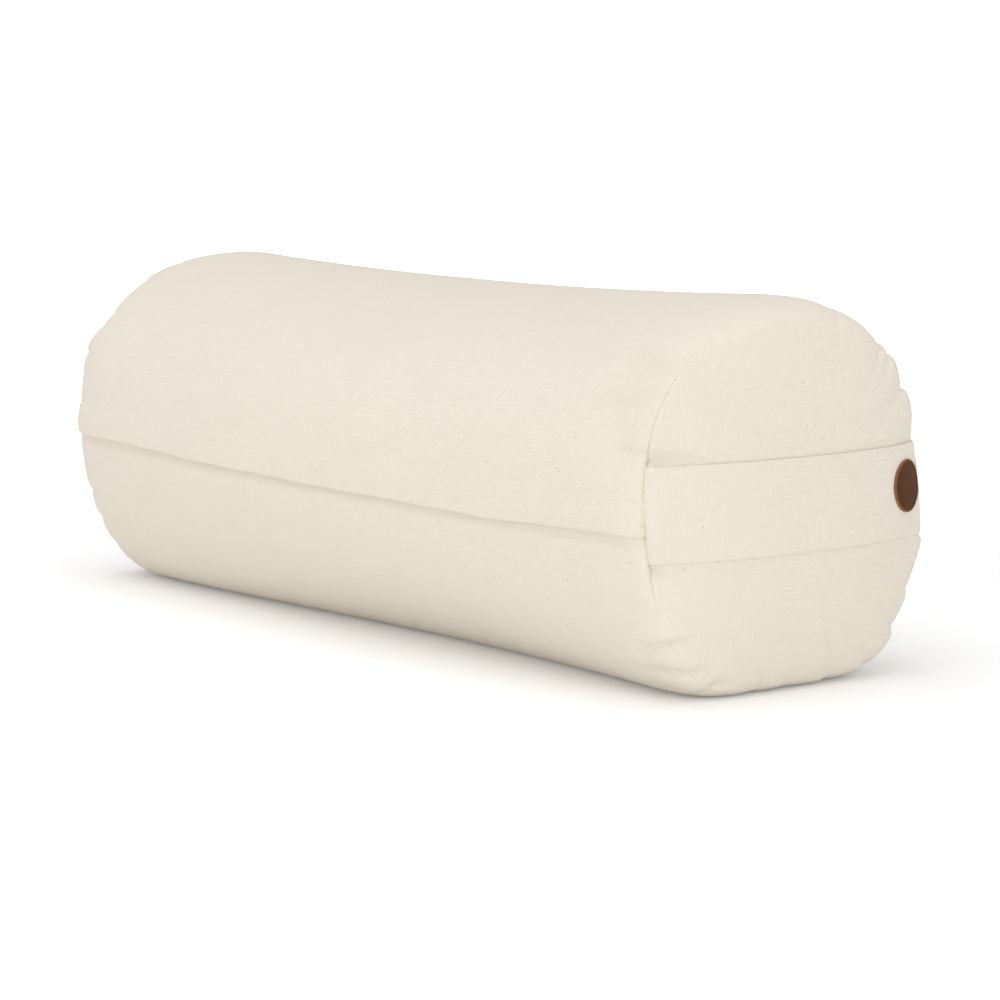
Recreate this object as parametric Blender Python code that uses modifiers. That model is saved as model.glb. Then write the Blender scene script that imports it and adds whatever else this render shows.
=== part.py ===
"""A round yoga bolster: canvas cover with a lapped zip, inner bag and filling.

The bolster lies along X with its handle end at +X. The floor is z = 0 and the lapped side faces -Y.
Every cloth piece is placed by the same barrel section, at its own depth below the cover's surface.
"""

import math

import bpy
import bmesh
from mathutils import Vector

# Driving dimensions of the stuffed cushion, in metres unless the name says otherwise
HALF_LENGTH = 0.307  # middle to end seam
HALF_WIDTH = 0.1135
HALF_HEIGHT = 0.1218
SQUARENESS = 2.34  # exponent of the section: 2 is an ellipse
ROLL = math.radians(11.0)  # how far the squarish section has rolled over
SINK = 0.0161  # how far the round section would reach into the floor if it weren't soft
SETTLE = 0.0046  # how gradually the cloth turns from the side on to the floor
FLAT_DEPTH = 0.0005  # the resting face is pressed flat by this much
SIDE_FULLNESS = 0.0094  # extra width each side at the middle
TOP_DIP = 0.0094  # how far the top sags at the middle
UNDERCUT = 0.0122  # how far the lapped side draws in below its middle, at mid length
UNDERCUT_LEAN = 0.8  # how much more it draws in toward the handle
UNDERCUT_FADE = 1.4  # how soon that dies away toward the ends
UNDERCUT_BETWEEN = math.radians(186), math.radians(270)  # angles from +Y toward +Z
END_ROUNDING = 0.047  # length over which the side curves in to the seam
SEAM_DRAW_NEAR = 0.934  # size of the handle end's seam, as a share of the full section
SEAM_DRAW_FAR = 0.871  # the far end's, as a share too
END_BULGE = 0.018
END_BULGE_SHAPE = 2.3  # exponent of the domed end: higher is flatter with a rounder rim

# Cloth and clearances
CANVAS = 0.0008
LINER_CLOTH = 0.0006
GAP = 0.0003  # between neighbours that touch
EASE = 0.0001  # spare room where a faceted outer piece cuts inside its own curve
SEAM_ALLOWANCE = 0.010
RIM_SEAT = 0.0008  # end panel inside the cover at the seam

# Lapped opening along the side
LAP_HEIGHT = 0.0986  # fold edge above the floor at mid length
LAP_WIDTH = 0.024  # fold edge up to the row of stitches that hinges it
LAP_THICKNESS = 0.0016
LAP_RISE = 0.0009  # how far the lap's lower part stands proud
LAP_RISE_AT_SEAM = 0.0012  # the same where the lap is sewn down beyond the zip
LAP_TILT = math.radians(0.56)  # the lap runs down toward the handle end
LAP_HALF_LENGTH = 0.25
LAP_END_GAP = 0.0004
UNDERLAP = 0.0058  # how far the lower edge reaches up behind the fold
UNDERLAP_DIP = 0.0010
LAP_CHANGE = 0.010  # length over which the hinged lap turns into the sewn one

# Zip
ZIP_ABOVE_FOLD = 0.011
TOOTH_PITCH = 0.004
TOOTH_NECK = 0.0015
TOOTH_HEAD = 0.00186
TOOTH_LENGTH = 0.00285
TOOTH_DEPTH = 0.0024
BEAD_FROM_CENTRE = 0.0016
BEAD_WIDTH = 0.0009
ROW_SPREAD = 0.0024  # how far the slider's wedge drives each row from the centre
TEETH_SHORT_OF_LAP = 0.011  # so that the pull, hanging past the teeth, clears the sewn lap
TEETH_HALF_LENGTH = LAP_HALF_LENGTH - TEETH_SHORT_OF_LAP
TAPE = 0.0005
TAPE_FLAT = 0.007  # half width over which the tape lies level beside the teeth
TAPE_OVERRUN = 0.0137  # tape that runs on past the teeth, to be sewn in under the fixed lap
TAPE_SEWN = 0.005  # tape hidden behind the cloth above the lap's stitches
TAPE_SEWN_LOWER = 0.0078
SEWN_EASE = 0.0003  # spare depth where the cover's facets cut inside its curve
STOP_LENGTH = 0.003

SLIDER_LENGTH = 0.011
SLIDER_PLATE = 0.0008
SLIDER_LIP = 0.0010  # how far each side flange reaches round the teeth
SLIDER_WALL = 0.0008
SPREAD_LENGTH = 0.0075  # part of the slider over which the rows part
BRIDGE_WIDTH = 0.0016
BRIDGE_THICKNESS = 0.0007
PULL_THICKNESS = 0.0010
PULL_LENGTH = 0.016  # pivot to tip
PULL_WIDTH = 0.006
PULL_EYE_BAR = 0.0010
PULL_EYE_LENGTH = 0.0025
PULL_EYE_WALL = 0.0012  # metal beside the eye
PULL_SHOULDER = 0.002  # length over which the tab widens past its eye
PULL_ROUNDING = 0.0012
PULL_TURN_ROOM = 0.00025  # between the turning eye bar and the slider's plate

# Handle and badge
STRAP_WIDTH = 0.055
STRAP_THICKNESS = 0.0022
STRAP_HEIGHT = 0.1102  # middle of the strap above the floor
TAIL_SEAT = 0.0006  # the strap's tails below the end panel's edge
TAIL_TURN = 0.001  # below the seam, where the strap has turned down into it
SLOT_DEPTH_SHARE = 0.957  # inner side of the tails' openings, as a share of the rim
SLOT_ROOM = 0.0008  # room beside the tails, which fan out a little round the curved rim
BADGE_RADIUS = 0.0155
BADGE_THICKNESS = 0.0020
BADGE_FROM_SIDE = 0.025  # badge's middle in from the side of the section
BADGE_ACROSS = HALF_WIDTH - BADGE_FROM_SIDE
BADGE_EDGE = 0.0004

# Inner bag and filling
LINER_END_DEPTH = 0.0042  # liner below the seam's edge where the handle's tails are
LINER_END_SPAN = 0.012
TAPE_ROOM = 0.0011  # from the middle of a tape's sewn edge to the inner bag behind it
GROOVE_SIDE = 0.0010
GROOVE_PAST_LAP = 0.010  # the zip's hollow in the bag runs on past the hinged lap
LINER_SHORT_OF_SEAM = 0.0015
FILLING_SHORT_OF_SEAM = 0.010

# Mesh fineness
RING_STEPS = 32
BELOW_LAP = 0.004
LAP_STATIONS = (0.34, 0.68, 1)  # shares of the hinged lap's half length
STATION_ROOM = 0.001  # kept clear of stations beside the slider's place
CUTTER_OVERRUN = 0.01  # how far a cutting block reaches past what it cuts
ANGLE_STEPS = 40  # halvings in the search for an angle
SIDEWAYS = 0.5  # share of an end piece's own direction in telling its outside
NEAR, FAR = 1, -1
COLLECTION = "yoga_bolster"

centre_height = HALF_HEIGHT - SINK


# Scene


def clear_scene():
    for thing in list(bpy.data.objects):
        bpy.data.objects.remove(thing, do_unlink=True)


def new_collection(name):
    made = bpy.data.collections.new(name)
    bpy.context.scene.collection.children.link(made)
    return made


def material(name, colour, roughness, metallic=0.0):
    made = bpy.data.materials.new(name)
    made.use_nodes = True
    shader = made.node_tree.nodes["Principled BSDF"]
    shader.inputs["Base Color"].default_value = (*colour, 1)
    shader.inputs["Roughness"].default_value = roughness
    shader.inputs["Metallic"].default_value = metallic
    made.diffuse_color = (*colour, 1)
    return made


# The stuffed section, which every cloth piece follows


def settled(height):
    """Height of soft cloth that spreads on the floor instead of passing through it."""
    if height > 4 * SETTLE:
        return height
    return SETTLE * math.log1p(math.exp(height / SETTLE))


def undercut(x, angle):
    """How far the packed tube draws in between its lapped side and its print on the floor."""
    start, end = UNDERCUT_BETWEEN
    share = (angle % math.tau - start) / (end - start)
    if not 0 < share < 1:
        return 0
    along = x / HALF_LENGTH
    strength = max(0, 1 - along**2) ** UNDERCUT_FADE * (1 + UNDERCUT_LEAN * along)
    return UNDERCUT * strength * math.sin(math.pi * share) ** 2


def section(x, angle, depth=0.0, at_rim=False):
    """Point of the barrel at station x, at an angle from +Y toward +Z, this deep below the surface."""
    along = abs(x) / HALF_LENGTH
    from_seam = min((HALF_LENGTH - abs(x)) / END_ROUNDING, 1)
    draw = SEAM_DRAW_NEAR if x > 0 else SEAM_DRAW_FAR
    rounded = 0 if at_rim else math.sqrt(max(0, 1 - (1 - from_seam) ** 2))
    share = draw + (1 - draw) * rounded
    middle = max(0, 1 - along**2)
    half_dip = TOP_DIP * middle / 2
    across = HALF_WIDTH * share + SIDE_FULLNESS * middle - depth
    up = HALF_HEIGHT * share - half_dip - depth
    turned = angle - ROLL
    radius = (
        abs(math.cos(turned) / across) ** SQUARENESS + abs(math.sin(turned) / up) ** SQUARENESS
    ) ** (-1 / SQUARENESS)
    radius -= undercut(x, angle)
    height = centre_height - half_dip + radius * math.sin(angle)
    height = settled(height - depth) - FLAT_DEPTH
    return Vector((x, radius * math.cos(angle), depth + max(height, 0)))


def angle_at(x, height, depth=0.0):
    """Angle on the lapped side at which the section reaches this height."""
    low, high = math.radians(240), math.radians(120)
    for _ in range(ANGLE_STEPS):
        middle = (low + high) / 2
        if section(x, middle, depth).z < height:
            low = middle
        else:
            high = middle
    return (low + high) / 2


def fold_height(x):
    """Height of the lap's fold edge, which runs slightly downhill toward the handle."""
    return LAP_HEIGHT - x * math.tan(LAP_TILT)


def lapped_side(x, above_fold, out=0.0, depth=0.0):
    """Point on the lapped side, this far above the fold edge and this far proud of the surface."""
    height = fold_height(x) + above_fold
    point = section(x, angle_at(x, height, depth), depth)
    return Vector((x, point.y - out, height))


def ring_angles(x, start_above, stop_below, steps):
    """Angles from one height over the fold, over the top and round to one below it."""
    first = angle_at(x, fold_height(x) + start_above)
    last = angle_at(x, fold_height(x) - stop_below) - math.tau
    return [first + (last - first) * k / steps for k in range(steps + 1)]


def dome_point(side, angle, share, behind=0.0):
    """Point of an end's dome: share 1 is its rim, 0 its middle; behind is the depth below it."""
    rim = section(side * HALF_LENGTH, angle, RIM_SEAT, at_rim=True)
    bulge = END_BULGE * (1 - share**END_BULGE_SHAPE)
    return Vector(
        (
            side * (HALF_LENGTH + bulge - behind),
            rim.y * share,
            centre_height + (rim.z - centre_height) * share,
        )
    )


# Mesh makers


def add_object(name, data, look):
    made = bpy.data.objects.new(name, data)
    parts.objects.link(made)
    made.data.materials.append(look)
    return made


def shaped_grid(name, look, columns, rows, place, outward, keep=None, round_shading=True):
    """A flat grid whose points are moved to place(column, row), with its faces turned outward."""
    bm = bmesh.new()
    bmesh.ops.create_grid(bm, x_segments=columns, y_segments=rows, size=1)
    index = {}
    for vert in bm.verts:
        column = round((vert.co.x + 1) / 2 * columns)
        row = round((vert.co.y + 1) / 2 * rows)
        index[vert] = (column, row)
    if keep:
        unwanted = [
            face
            for face in bm.faces
            if not keep(min(index[v][0] for v in face.verts), min(index[v][1] for v in face.verts))
        ]
        bmesh.ops.delete(bm, geom=unwanted, context="FACES")
    for vert in bm.verts:
        vert.co = place(*index[vert])
    bmesh.ops.remove_doubles(bm, verts=bm.verts, dist=1e-6)
    bmesh.ops.dissolve_degenerate(bm, edges=bm.edges, dist=1e-6)
    bm.normal_update()
    facing = sum(face.normal.dot(outward(face.calc_center_median())) for face in bm.faces)
    if facing < 0:
        bmesh.ops.reverse_faces(bm, faces=bm.faces)
    mesh = bpy.data.meshes.new(name)
    bm.to_mesh(mesh)
    bm.free()
    if round_shading:
        mesh.shade_smooth()
    return add_object(name, mesh, look)


def solidify(thing, thickness, offset=-1.0):
    """A cloth's thickness: offset -1 goes inward from the surface, 1 outward and 0 both ways."""
    wall = thing.modifiers.new("cloth", "SOLIDIFY")
    wall.thickness = thickness
    wall.offset = offset
    wall.use_even_offset = True
    wall.use_rim = True
    return thing


def from_axis(point):
    """Outward from the bolster's long axis."""
    return Vector((0, point.y, point.z - centre_height))


def flat_outline(name, look, points, half_thickness, holes=()):
    """A closed outline in its own XY plane, filled and extruded both ways."""
    curve = bpy.data.curves.new(name, "CURVE")
    curve.dimensions = "2D"
    curve.fill_mode = "BOTH"
    curve.extrude = half_thickness
    for loop in (points, *holes):
        spline = curve.splines.new("POLY")
        spline.points.add(len(loop) - 1)
        for target, (x, y) in zip(spline.points, loop):
            target.co = (x, y, 0, 1)
        spline.use_cyclic_u = True
    return add_object(name, curve, look)


def as_mesh(thing):
    """The same piece as a closed mesh, for cutting and joining."""
    graph = bpy.context.evaluated_depsgraph_get()
    mesh = bpy.data.meshes.new_from_object(thing.evaluated_get(graph))
    bm = bmesh.new()
    bm.from_mesh(mesh)
    bmesh.ops.remove_doubles(bm, verts=bm.verts, dist=1e-6)
    bmesh.ops.recalc_face_normals(bm, faces=bm.faces)
    bm.to_mesh(mesh)
    bm.free()
    made = bpy.data.objects.new("mesh", mesh)
    for owner in thing.users_collection:
        owner.objects.link(made)
    name = thing.name
    bpy.data.objects.remove(thing)
    made.name = name
    return made


def as_cutter(thing):
    parts.objects.unlink(thing)
    cutters.objects.link(thing)
    thing.hide_render = True
    thing.display_type = "WIRE"
    return thing


def box(name, look, low, high):
    bm = bmesh.new()
    bmesh.ops.create_cube(bm, size=1)
    size = Vector(high) - Vector(low)
    bmesh.ops.scale(bm, vec=size, verts=bm.verts)
    bmesh.ops.translate(bm, vec=(Vector(high) + Vector(low)) / 2, verts=bm.verts)
    mesh = bpy.data.meshes.new(name)
    bm.to_mesh(mesh)
    bm.free()
    return add_object(name, mesh, look)


def boolean(thing, other, operation):
    cut = thing.modifiers.new(other.name, "BOOLEAN")
    cut.operation = operation
    cut.object = other
    cut.solver = "EXACT"


# Cover


def end_stations():
    """Distances from the seam at which the rounded end is sampled, close together at the seam."""
    return [END_ROUNDING * share for share in (0, 0.05, 0.2, 0.5, 1)]


def cover_stations():
    ends = [HALF_LENGTH - d for d in end_stations()]
    inner = [LAP_HALF_LENGTH * share for share in LAP_STATIONS]
    half = sorted(set(round(x, 6) for x in ends + inner if x > 0))
    return [-x for x in reversed(half)] + [0.0] + half


lap_levels = [0.0, LAP_WIDTH / 3, LAP_WIDTH * 2 / 3, LAP_WIDTH]
under_levels = [-0.001, 0.001, UNDERLAP]


def toward_seam(x):
    """0 where the lap is hinged over the zip, 1 where it is sewn down beyond it."""
    return max(0, min(1, (abs(x) - LAP_HALF_LENGTH) / LAP_CHANGE))


def lap_rise(above_fold, x=0.0):
    """The lap stands proud over its lower third and runs flush into the cover at its stitches."""
    rise = LAP_RISE + (LAP_RISE_AT_SEAM - LAP_RISE) * toward_seam(x)
    return rise * min(1, (LAP_WIDTH - above_fold) / (LAP_WIDTH * 2 / 3))


def make_cover_body():
    stations = cover_stations()
    first_ring = len(lap_levels)
    last_ring = first_ring + RING_STEPS
    columns = last_ring + len(under_levels) - 1

    def place(column, row):
        x = stations[row]
        if column < first_ring:
            above = lap_levels[column]
            return lapped_side(x, above, lap_rise(above, x))
        if column < last_ring:
            angles = ring_angles(x, LAP_WIDTH, BELOW_LAP, RING_STEPS)
            return section(x, angles[column - first_ring + 1])
        dip = UNDERLAP_DIP * (1 - toward_seam(x))
        return lapped_side(x, under_levels[column - last_ring], -dip)

    def keep(column, row):
        in_window = -LAP_HALF_LENGTH <= stations[row] < LAP_HALF_LENGTH - 1e-6
        return not (in_window and column < len(lap_levels) - 1)

    cover = shaped_grid("cover_body", canvas, columns, len(stations) - 1, place, from_axis, keep)
    return solidify(cover, CANVAS)


def make_placket_flap():
    reach = LAP_HALF_LENGTH - LAP_END_GAP
    stations = [x for x in cover_stations() if abs(x) < LAP_HALF_LENGTH - 1e-6]
    stations = [-reach, *stations, reach]
    levels = [*lap_levels[:-1], LAP_WIDTH - GAP]

    def place(column, row):
        return lapped_side(stations[row], levels[column], lap_rise(levels[column]))

    flap = shaped_grid(
        "placket_flap", canvas, len(levels) - 1, len(stations) - 1, place, from_axis
    )
    return solidify(flap, LAP_THICKNESS)


def dome_angles(x):
    """The cover's own angles all the way round, so that nested pieces share their facets."""
    lap = [angle_at(x, fold_height(x) + level) for level in lap_levels[:-1]]
    return lap + ring_angles(x, LAP_WIDTH, BELOW_LAP, RING_STEPS)


dome_shares = [1, 0.96, 0.88, 0.72, 0.5, 0.25, 0]


def end_direction(side):
    return lambda point: Vector((side, 0, 0)) * SIDEWAYS + from_axis(point)


def make_end_panel(side, name):
    """A domed round of canvas with its seam allowance turned in against the cover's wall."""
    angles = dome_angles(side * HALF_LENGTH)
    lip = [SEAM_ALLOWANCE, SEAM_ALLOWANCE / 2]
    rows = len(lip) + len(dome_shares) - 1

    def place(column, row):
        angle = angles[column % len(angles)]
        if row < len(lip):
            return dome_point(side, angle, 1, lip[row])
        return dome_point(side, angle, dome_shares[row - len(lip)])

    panel = shaped_grid(name, canvas, len(angles), rows, place, end_direction(side))
    return solidify(panel, CANVAS)


# Handle and badge


def rim_reach(side_y, height, share=1.0):
    """How far across the near end the panel's rim is at this height."""
    low, high = math.radians(-75), math.radians(75)
    if side_y < 0:
        low, high = math.radians(255), math.radians(105)
    for _ in range(ANGLE_STEPS):
        middle = (low + high) / 2
        if dome_point(NEAR, middle, share).z < height:
            low = middle
        else:
            high = middle
    return dome_point(NEAR, (low + high) / 2, share).y


def dome_surface(across, height):
    """Point on the near end's dome over this place on the floor plan of the panel."""
    angle = math.atan2(height - centre_height, across)
    rim = dome_point(NEAR, angle, 1)
    reach = math.hypot(rim.y, rim.z - centre_height)
    share = min(1, math.hypot(across, height - centre_height) / reach)
    x = HALF_LENGTH + END_BULGE * (1 - share**END_BULGE_SHAPE)
    return Vector((x, across, height))


strap_run = [0.955, 0.87, 0.75, 0.6, 0.42, 0.21]
strap_tail_depth = TAIL_SEAT + STRAP_THICKNESS


def make_handle_strap():
    across_steps = 4
    half_run = [("tail", SEAM_ALLOWANCE - GAP), ("tail", TAIL_TURN)] + [("dome", s) for s in strap_run]
    run = [(-1, *step) for step in half_run] + [(1, "dome", 0.0)] + [
        (1, *step) for step in reversed(half_run)
    ]

    def place(column, row):
        height = STRAP_HEIGHT + STRAP_WIDTH * (column / across_steps - 0.5)
        side_y, where, value = run[row]
        reach = rim_reach(side_y, height)
        if where == "tail":
            return Vector((HALF_LENGTH - value, reach - side_y * strap_tail_depth, height))
        point = dome_surface(reach * value, height)
        return point + Vector((GAP + EASE, 0, 0))

    strap = shaped_grid(
        "handle_strap", canvas, across_steps, len(run) - 1, place, end_direction(NEAR)
    )
    return solidify(strap, STRAP_THICKNESS, 1.0)


def cut_strap_slots(panel):
    """Openings in the near panel's rim, where the handle's tails enter the seam."""
    half = STRAP_WIDTH / 2 + SLOT_ROOM
    for side_y, name in ((-1, "slot_front"), (1, "slot_back")):
        edges = [rim_reach(side_y, STRAP_HEIGHT + end * half) for end in (-1, 1)]
        inner = min(edges, key=abs) * SLOT_DEPTH_SHARE
        outer = side_y * (HALF_WIDTH + CUTTER_OVERRUN)
        start = HALF_LENGTH - SEAM_ALLOWANCE - CUTTER_OVERRUN
        low = (start, min(inner, outer), STRAP_HEIGHT - half)
        high = (HALF_LENGTH + CUTTER_OVERRUN, max(inner, outer), STRAP_HEIGHT + half)
        slot = as_cutter(box(name, canvas, low, high))
        boolean(panel, slot, "DIFFERENCE")


def make_badge():
    """A leather round that follows the handle it is sewn on."""
    shares = [1, 0.75, 0.4, 0]
    steps = 30
    lift = GAP + EASE + STRAP_THICKNESS + GAP

    def place(column, row):
        turn = math.tau * column / steps
        reach = BADGE_RADIUS * shares[row]
        across = BADGE_ACROSS + reach * math.cos(turn)
        height = STRAP_HEIGHT + reach * math.sin(turn)
        nearby = 0.001
        point = dome_surface(across, height)
        slope = dome_surface(across + nearby, height) - dome_surface(across - nearby, height)
        climb = dome_surface(across, height + nearby) - dome_surface(across, height - nearby)
        normal = slope.cross(climb).normalized()
        return point + normal * lift

    badge = shaped_grid(
        "leather_badge", leather, steps, len(shares) - 1, place, lambda point: Vector((1, 0, 0))
    )
    solidify(badge, BADGE_THICKNESS, 1.0)
    edge = badge.modifiers.new("edge", "BEVEL")
    edge.width = BADGE_EDGE
    edge.segments = 2
    edge.limit_method = "ANGLE"
    return badge


# Zip: made level and straight in its own frame, whose x runs along it and z across it

slider_inner = TOOTH_DEPTH / 2 + GAP
slider_outer = slider_inner + SLIDER_PLATE
pull_corner = math.hypot(PULL_EYE_BAR, PULL_THICKNESS) / 2
pivot_height = slider_outer + pull_corner + PULL_TURN_ROOM
bridge_top = 2 * pivot_height - slider_outer + BRIDGE_THICKNESS
zip_height = LAP_HEIGHT + ZIP_ABOVE_FOLD
lap_inside = LAP_THICKNESS - lap_rise(ZIP_ABOVE_FOLD)
zip_depth = lap_inside + GAP + EASE + bridge_top


def zip_plane():
    """The zip is straight, so it lies deep enough to pass under the lap at both of its ends."""
    ends = [lapped_side(side * LAP_HALF_LENGTH, ZIP_ABOVE_FOLD).y for side in (NEAR, FAR)]
    return max(ends) + zip_depth


def zip_frame():
    empty = bpy.data.objects.new("zip_line", None)
    parts.objects.link(empty)
    empty.location = (0, zip_plane(), zip_height)
    empty.rotation_euler = (0, LAP_TILT, 0)
    return empty


def slider_place():
    return TEETH_HALF_LENGTH - SLIDER_LENGTH / 2


def row_spread(x):
    """How far a row has been driven from the centre line, at this place along the zip."""
    start = slider_place() + SLIDER_LENGTH / 2 - SPREAD_LENGTH
    return ROW_SPREAD * max(0, (x - start) / SPREAD_LENGTH)


def tooth_row(name, side, first_tooth):
    """One row of dovetail teeth on its bead. Side 1 is the upper row, -1 the lower."""
    points = [(-TEETH_HALF_LENGTH, BEAD_FROM_CENTRE)]
    inner = BEAD_FROM_CENTRE - TOOTH_LENGTH
    middle = -TEETH_HALF_LENGTH + first_tooth
    while middle + TOOTH_HEAD / 2 < TEETH_HALF_LENGTH - GAP:
        for half, reach in (
            (-TOOTH_NECK, BEAD_FROM_CENTRE),
            (-TOOTH_HEAD, inner),
            (TOOTH_HEAD, inner),
            (TOOTH_NECK, BEAD_FROM_CENTRE),
        ):
            x = middle + half / 2
            points.append((x, reach + row_spread(middle)))
        middle += TOOTH_PITCH
    points.append((TEETH_HALF_LENGTH, BEAD_FROM_CENTRE + ROW_SPREAD))
    back = BEAD_FROM_CENTRE + BEAD_WIDTH
    points.append((TEETH_HALF_LENGTH, back + ROW_SPREAD))
    points.append((TEETH_HALF_LENGTH - SPREAD_LENGTH, back))
    points.append((-TEETH_HALF_LENGTH, back))
    row = flat_outline(name, resin, [(x, side * y) for x, y in points], TOOTH_DEPTH / 2)
    row.rotation_euler = (math.pi / 2, 0, 0)
    row.parent = zip_line
    return row


def to_zip(point):
    """A world point in the zip's own frame."""
    moved = point - Vector((0, zip_plane(), zip_height))
    along = moved.x * math.cos(LAP_TILT) - moved.z * math.sin(LAP_TILT)
    across = moved.x * math.sin(LAP_TILT) + moved.z * math.cos(LAP_TILT)
    return Vector((along, moved.y, across))


def zip_stations():
    reach = TEETH_HALF_LENGTH + TAPE_OVERRUN
    start = TEETH_HALF_LENGTH - SPREAD_LENGTH
    inner = [x for x in cover_stations() if abs(x) < start - STATION_ROOM]
    return [-reach, -LAP_HALF_LENGTH, *inner, start, TEETH_HALF_LENGTH, reach]


upper_sewn = LAP_WIDTH - ZIP_ABOVE_FOLD + TAPE_SEWN
lower_sewn = ZIP_ABOVE_FOLD - UNDERLAP + TAPE_SEWN_LOWER
upper_sewn_depth = CANVAS + GAP + TAPE / 2 + SEWN_EASE
lower_sewn_depth = UNDERLAP_DIP + upper_sewn_depth


def sewn_point(x, side):
    """Where a tape's outer edge lies against the inside of the cover."""
    if side > 0:
        return lapped_side(x, ZIP_ABOVE_FOLD + upper_sewn, -upper_sewn_depth)
    return lapped_side(x, ZIP_ABOVE_FOLD - lower_sewn, -lower_sewn_depth)


def make_tape(name, side):
    """A tape that lies level beside the teeth and then climbs to where it is sewn to the cover."""
    stations = zip_stations()
    edge = BEAD_FROM_CENTRE + BEAD_WIDTH + GAP

    def place(column, row):
        x = stations[row]
        if column == 0:
            return Vector((x, 0, side * (edge + min(ROW_SPREAD, row_spread(x)))))
        if column == 1:
            return Vector((x, 0, side * TAPE_FLAT))
        return to_zip(sewn_point(x, side))

    tape = shaped_grid(
        name, tape_weave, 2, len(stations) - 1, place, lambda point: Vector((0, -1, 0))
    )
    solidify(tape, TAPE, 0.0)
    tape.parent = zip_line
    return tape


def slider_outline(rear, front):
    """Half of the slider's tapering side line, from its rear mouth to its front."""
    half = SLIDER_LENGTH / 2
    taper = half - SPREAD_LENGTH
    return [(-half, rear), (taper, rear), (half, front)]


def mirrored(line):
    return line + [(x, -y) for x, y in reversed(line)]


def make_slider():
    """Two plates joined by a wedge, with flanges round the rows and a bridge for the pull."""
    bead_out = BEAD_FROM_CENTRE + BEAD_WIDTH
    channel = bead_out + GAP
    channel_front = channel + ROW_SPREAD
    outer = [(x, y + SLIDER_WALL) for x, y in slider_outline(channel, channel_front)]
    slider = as_mesh(flat_outline("zip_slider", zinc, mirrored(outer), slider_outer))
    half = SLIDER_LENGTH / 2
    tip_gap = BEAD_FROM_CENTRE - TOOTH_LENGTH
    wedge_half = tip_gap + ROW_SPREAD - GAP
    wedge_length = wedge_half * SPREAD_LENGTH / ROW_SPREAD
    past = CUTTER_OVERRUN
    side_line = slider_outline(channel, channel_front)
    side_line[0] = (-half - past, channel)
    side_line.append((half + past, channel_front))
    notch = [(half + past, wedge_half), (half, wedge_half), (half - wedge_length, 0)]
    channel_shape = side_line + notch + [(x, -y) for x, y in reversed(side_line + notch[:-1])]
    void = as_cutter(as_mesh(flat_outline("slider_channel", zinc, channel_shape, slider_inner)))
    boolean(slider, void, "DIFFERENCE")
    lip_gap = slider_inner - SLIDER_LIP
    for side, name in ((1, "slider_slot_upper"), (-1, "slider_slot_lower")):
        near_centre = side * (channel - GAP)
        far_out = side * (channel_front + 2 * SLIDER_WALL)
        low = (-half - past, min(near_centre, far_out), -lip_gap)
        high = (half + past, max(near_centre, far_out), lip_gap)
        boolean(slider, as_cutter(box(name, zinc, low, high)), "DIFFERENCE")
    arch_half = pull_corner + GAP + BRIDGE_THICKNESS
    arch_top = bridge_top
    arch_in = arch_half - BRIDGE_THICKNESS
    arch_under = bridge_top - BRIDGE_THICKNESS
    foot = slider_outer - SLIDER_PLATE / 2
    arch = [
        (-arch_half, foot),
        (-arch_half, arch_top),
        (arch_half, arch_top),
        (arch_half, foot),
        (arch_in, foot),
        (arch_in, arch_under),
        (-arch_in, arch_under),
        (-arch_in, foot),
    ]
    bridge = flat_outline("slider_bridge", zinc, arch, BRIDGE_WIDTH / 2)
    bridge.rotation_euler = (math.pi / 2, 0, 0)
    bpy.context.view_layer.update()
    bridge_turn = bridge.matrix_world.copy()
    bridge = as_cutter(as_mesh(bridge))
    bridge.data.transform(bridge_turn)
    boolean(slider, bridge, "UNION")
    for piece in (slider, *[m.object for m in slider.modifiers]):
        piece.rotation_euler = (math.pi / 2, 0, 0)
        piece.location = (slider_place(), 0, 0)
        piece.parent = zip_line
    return slider


def make_pull():
    """A flat tab whose eye bar passes under the slider's bridge. Its origin is on the pivot."""
    eye_half = BRIDGE_WIDTH / 2 + GAP
    bar = PULL_EYE_BAR / 2
    half = PULL_WIDTH / 2
    neck = eye_half + PULL_EYE_WALL
    eye_end = bar + PULL_EYE_LENGTH
    shoulder = eye_end + PULL_SHOULDER
    rounding = PULL_ROUNDING
    outline = [
        (bar, -neck),
        (bar, neck),
        (-eye_end, neck),
        (-shoulder, half),
        (rounding - PULL_LENGTH, half),
        (-PULL_LENGTH, half - rounding),
        (-PULL_LENGTH, rounding - half),
        (rounding - PULL_LENGTH, -half),
        (-shoulder, -half),
        (-eye_end, -neck),
    ]
    eye = [(-bar, -eye_half), (-eye_end, -eye_half), (-eye_end, eye_half), (-bar, eye_half)]
    tab = flat_outline("zip_pull", zinc, outline, PULL_THICKNESS / 2, [eye])
    tab.rotation_euler = (math.pi / 2, 0, 0)
    tab.location = (slider_place(), -pivot_height, 0)
    tab.parent = zip_line
    return tab


def make_stops():
    deep = TOOTH_DEPTH / 2
    start = TEETH_HALF_LENGTH + GAP
    for side, name in ((1, "zip_top_stop_upper"), (-1, "zip_top_stop_lower")):
        inner = side * (BEAD_FROM_CENTRE + ROW_SPREAD)
        outer = side * (BEAD_FROM_CENTRE + ROW_SPREAD + BEAD_WIDTH)
        low = (start, -deep, min(inner, outer))
        high = (start + STOP_LENGTH, deep, max(inner, outer))
        box(name, zinc, low, high).parent = zip_line
    reach = BEAD_FROM_CENTRE + BEAD_WIDTH
    low = (-start - STOP_LENGTH, -deep, -reach)
    high = (-start, deep, reach)
    box("zip_bottom_stop", zinc, low, high).parent = zip_line


# Inner bag and filling


def channel_reach():
    """Half the width of the slider at its widest, with room to run."""
    return BEAD_FROM_CENTRE + BEAD_WIDTH + 2 * GAP + ROW_SPREAD + SLIDER_WALL


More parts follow.
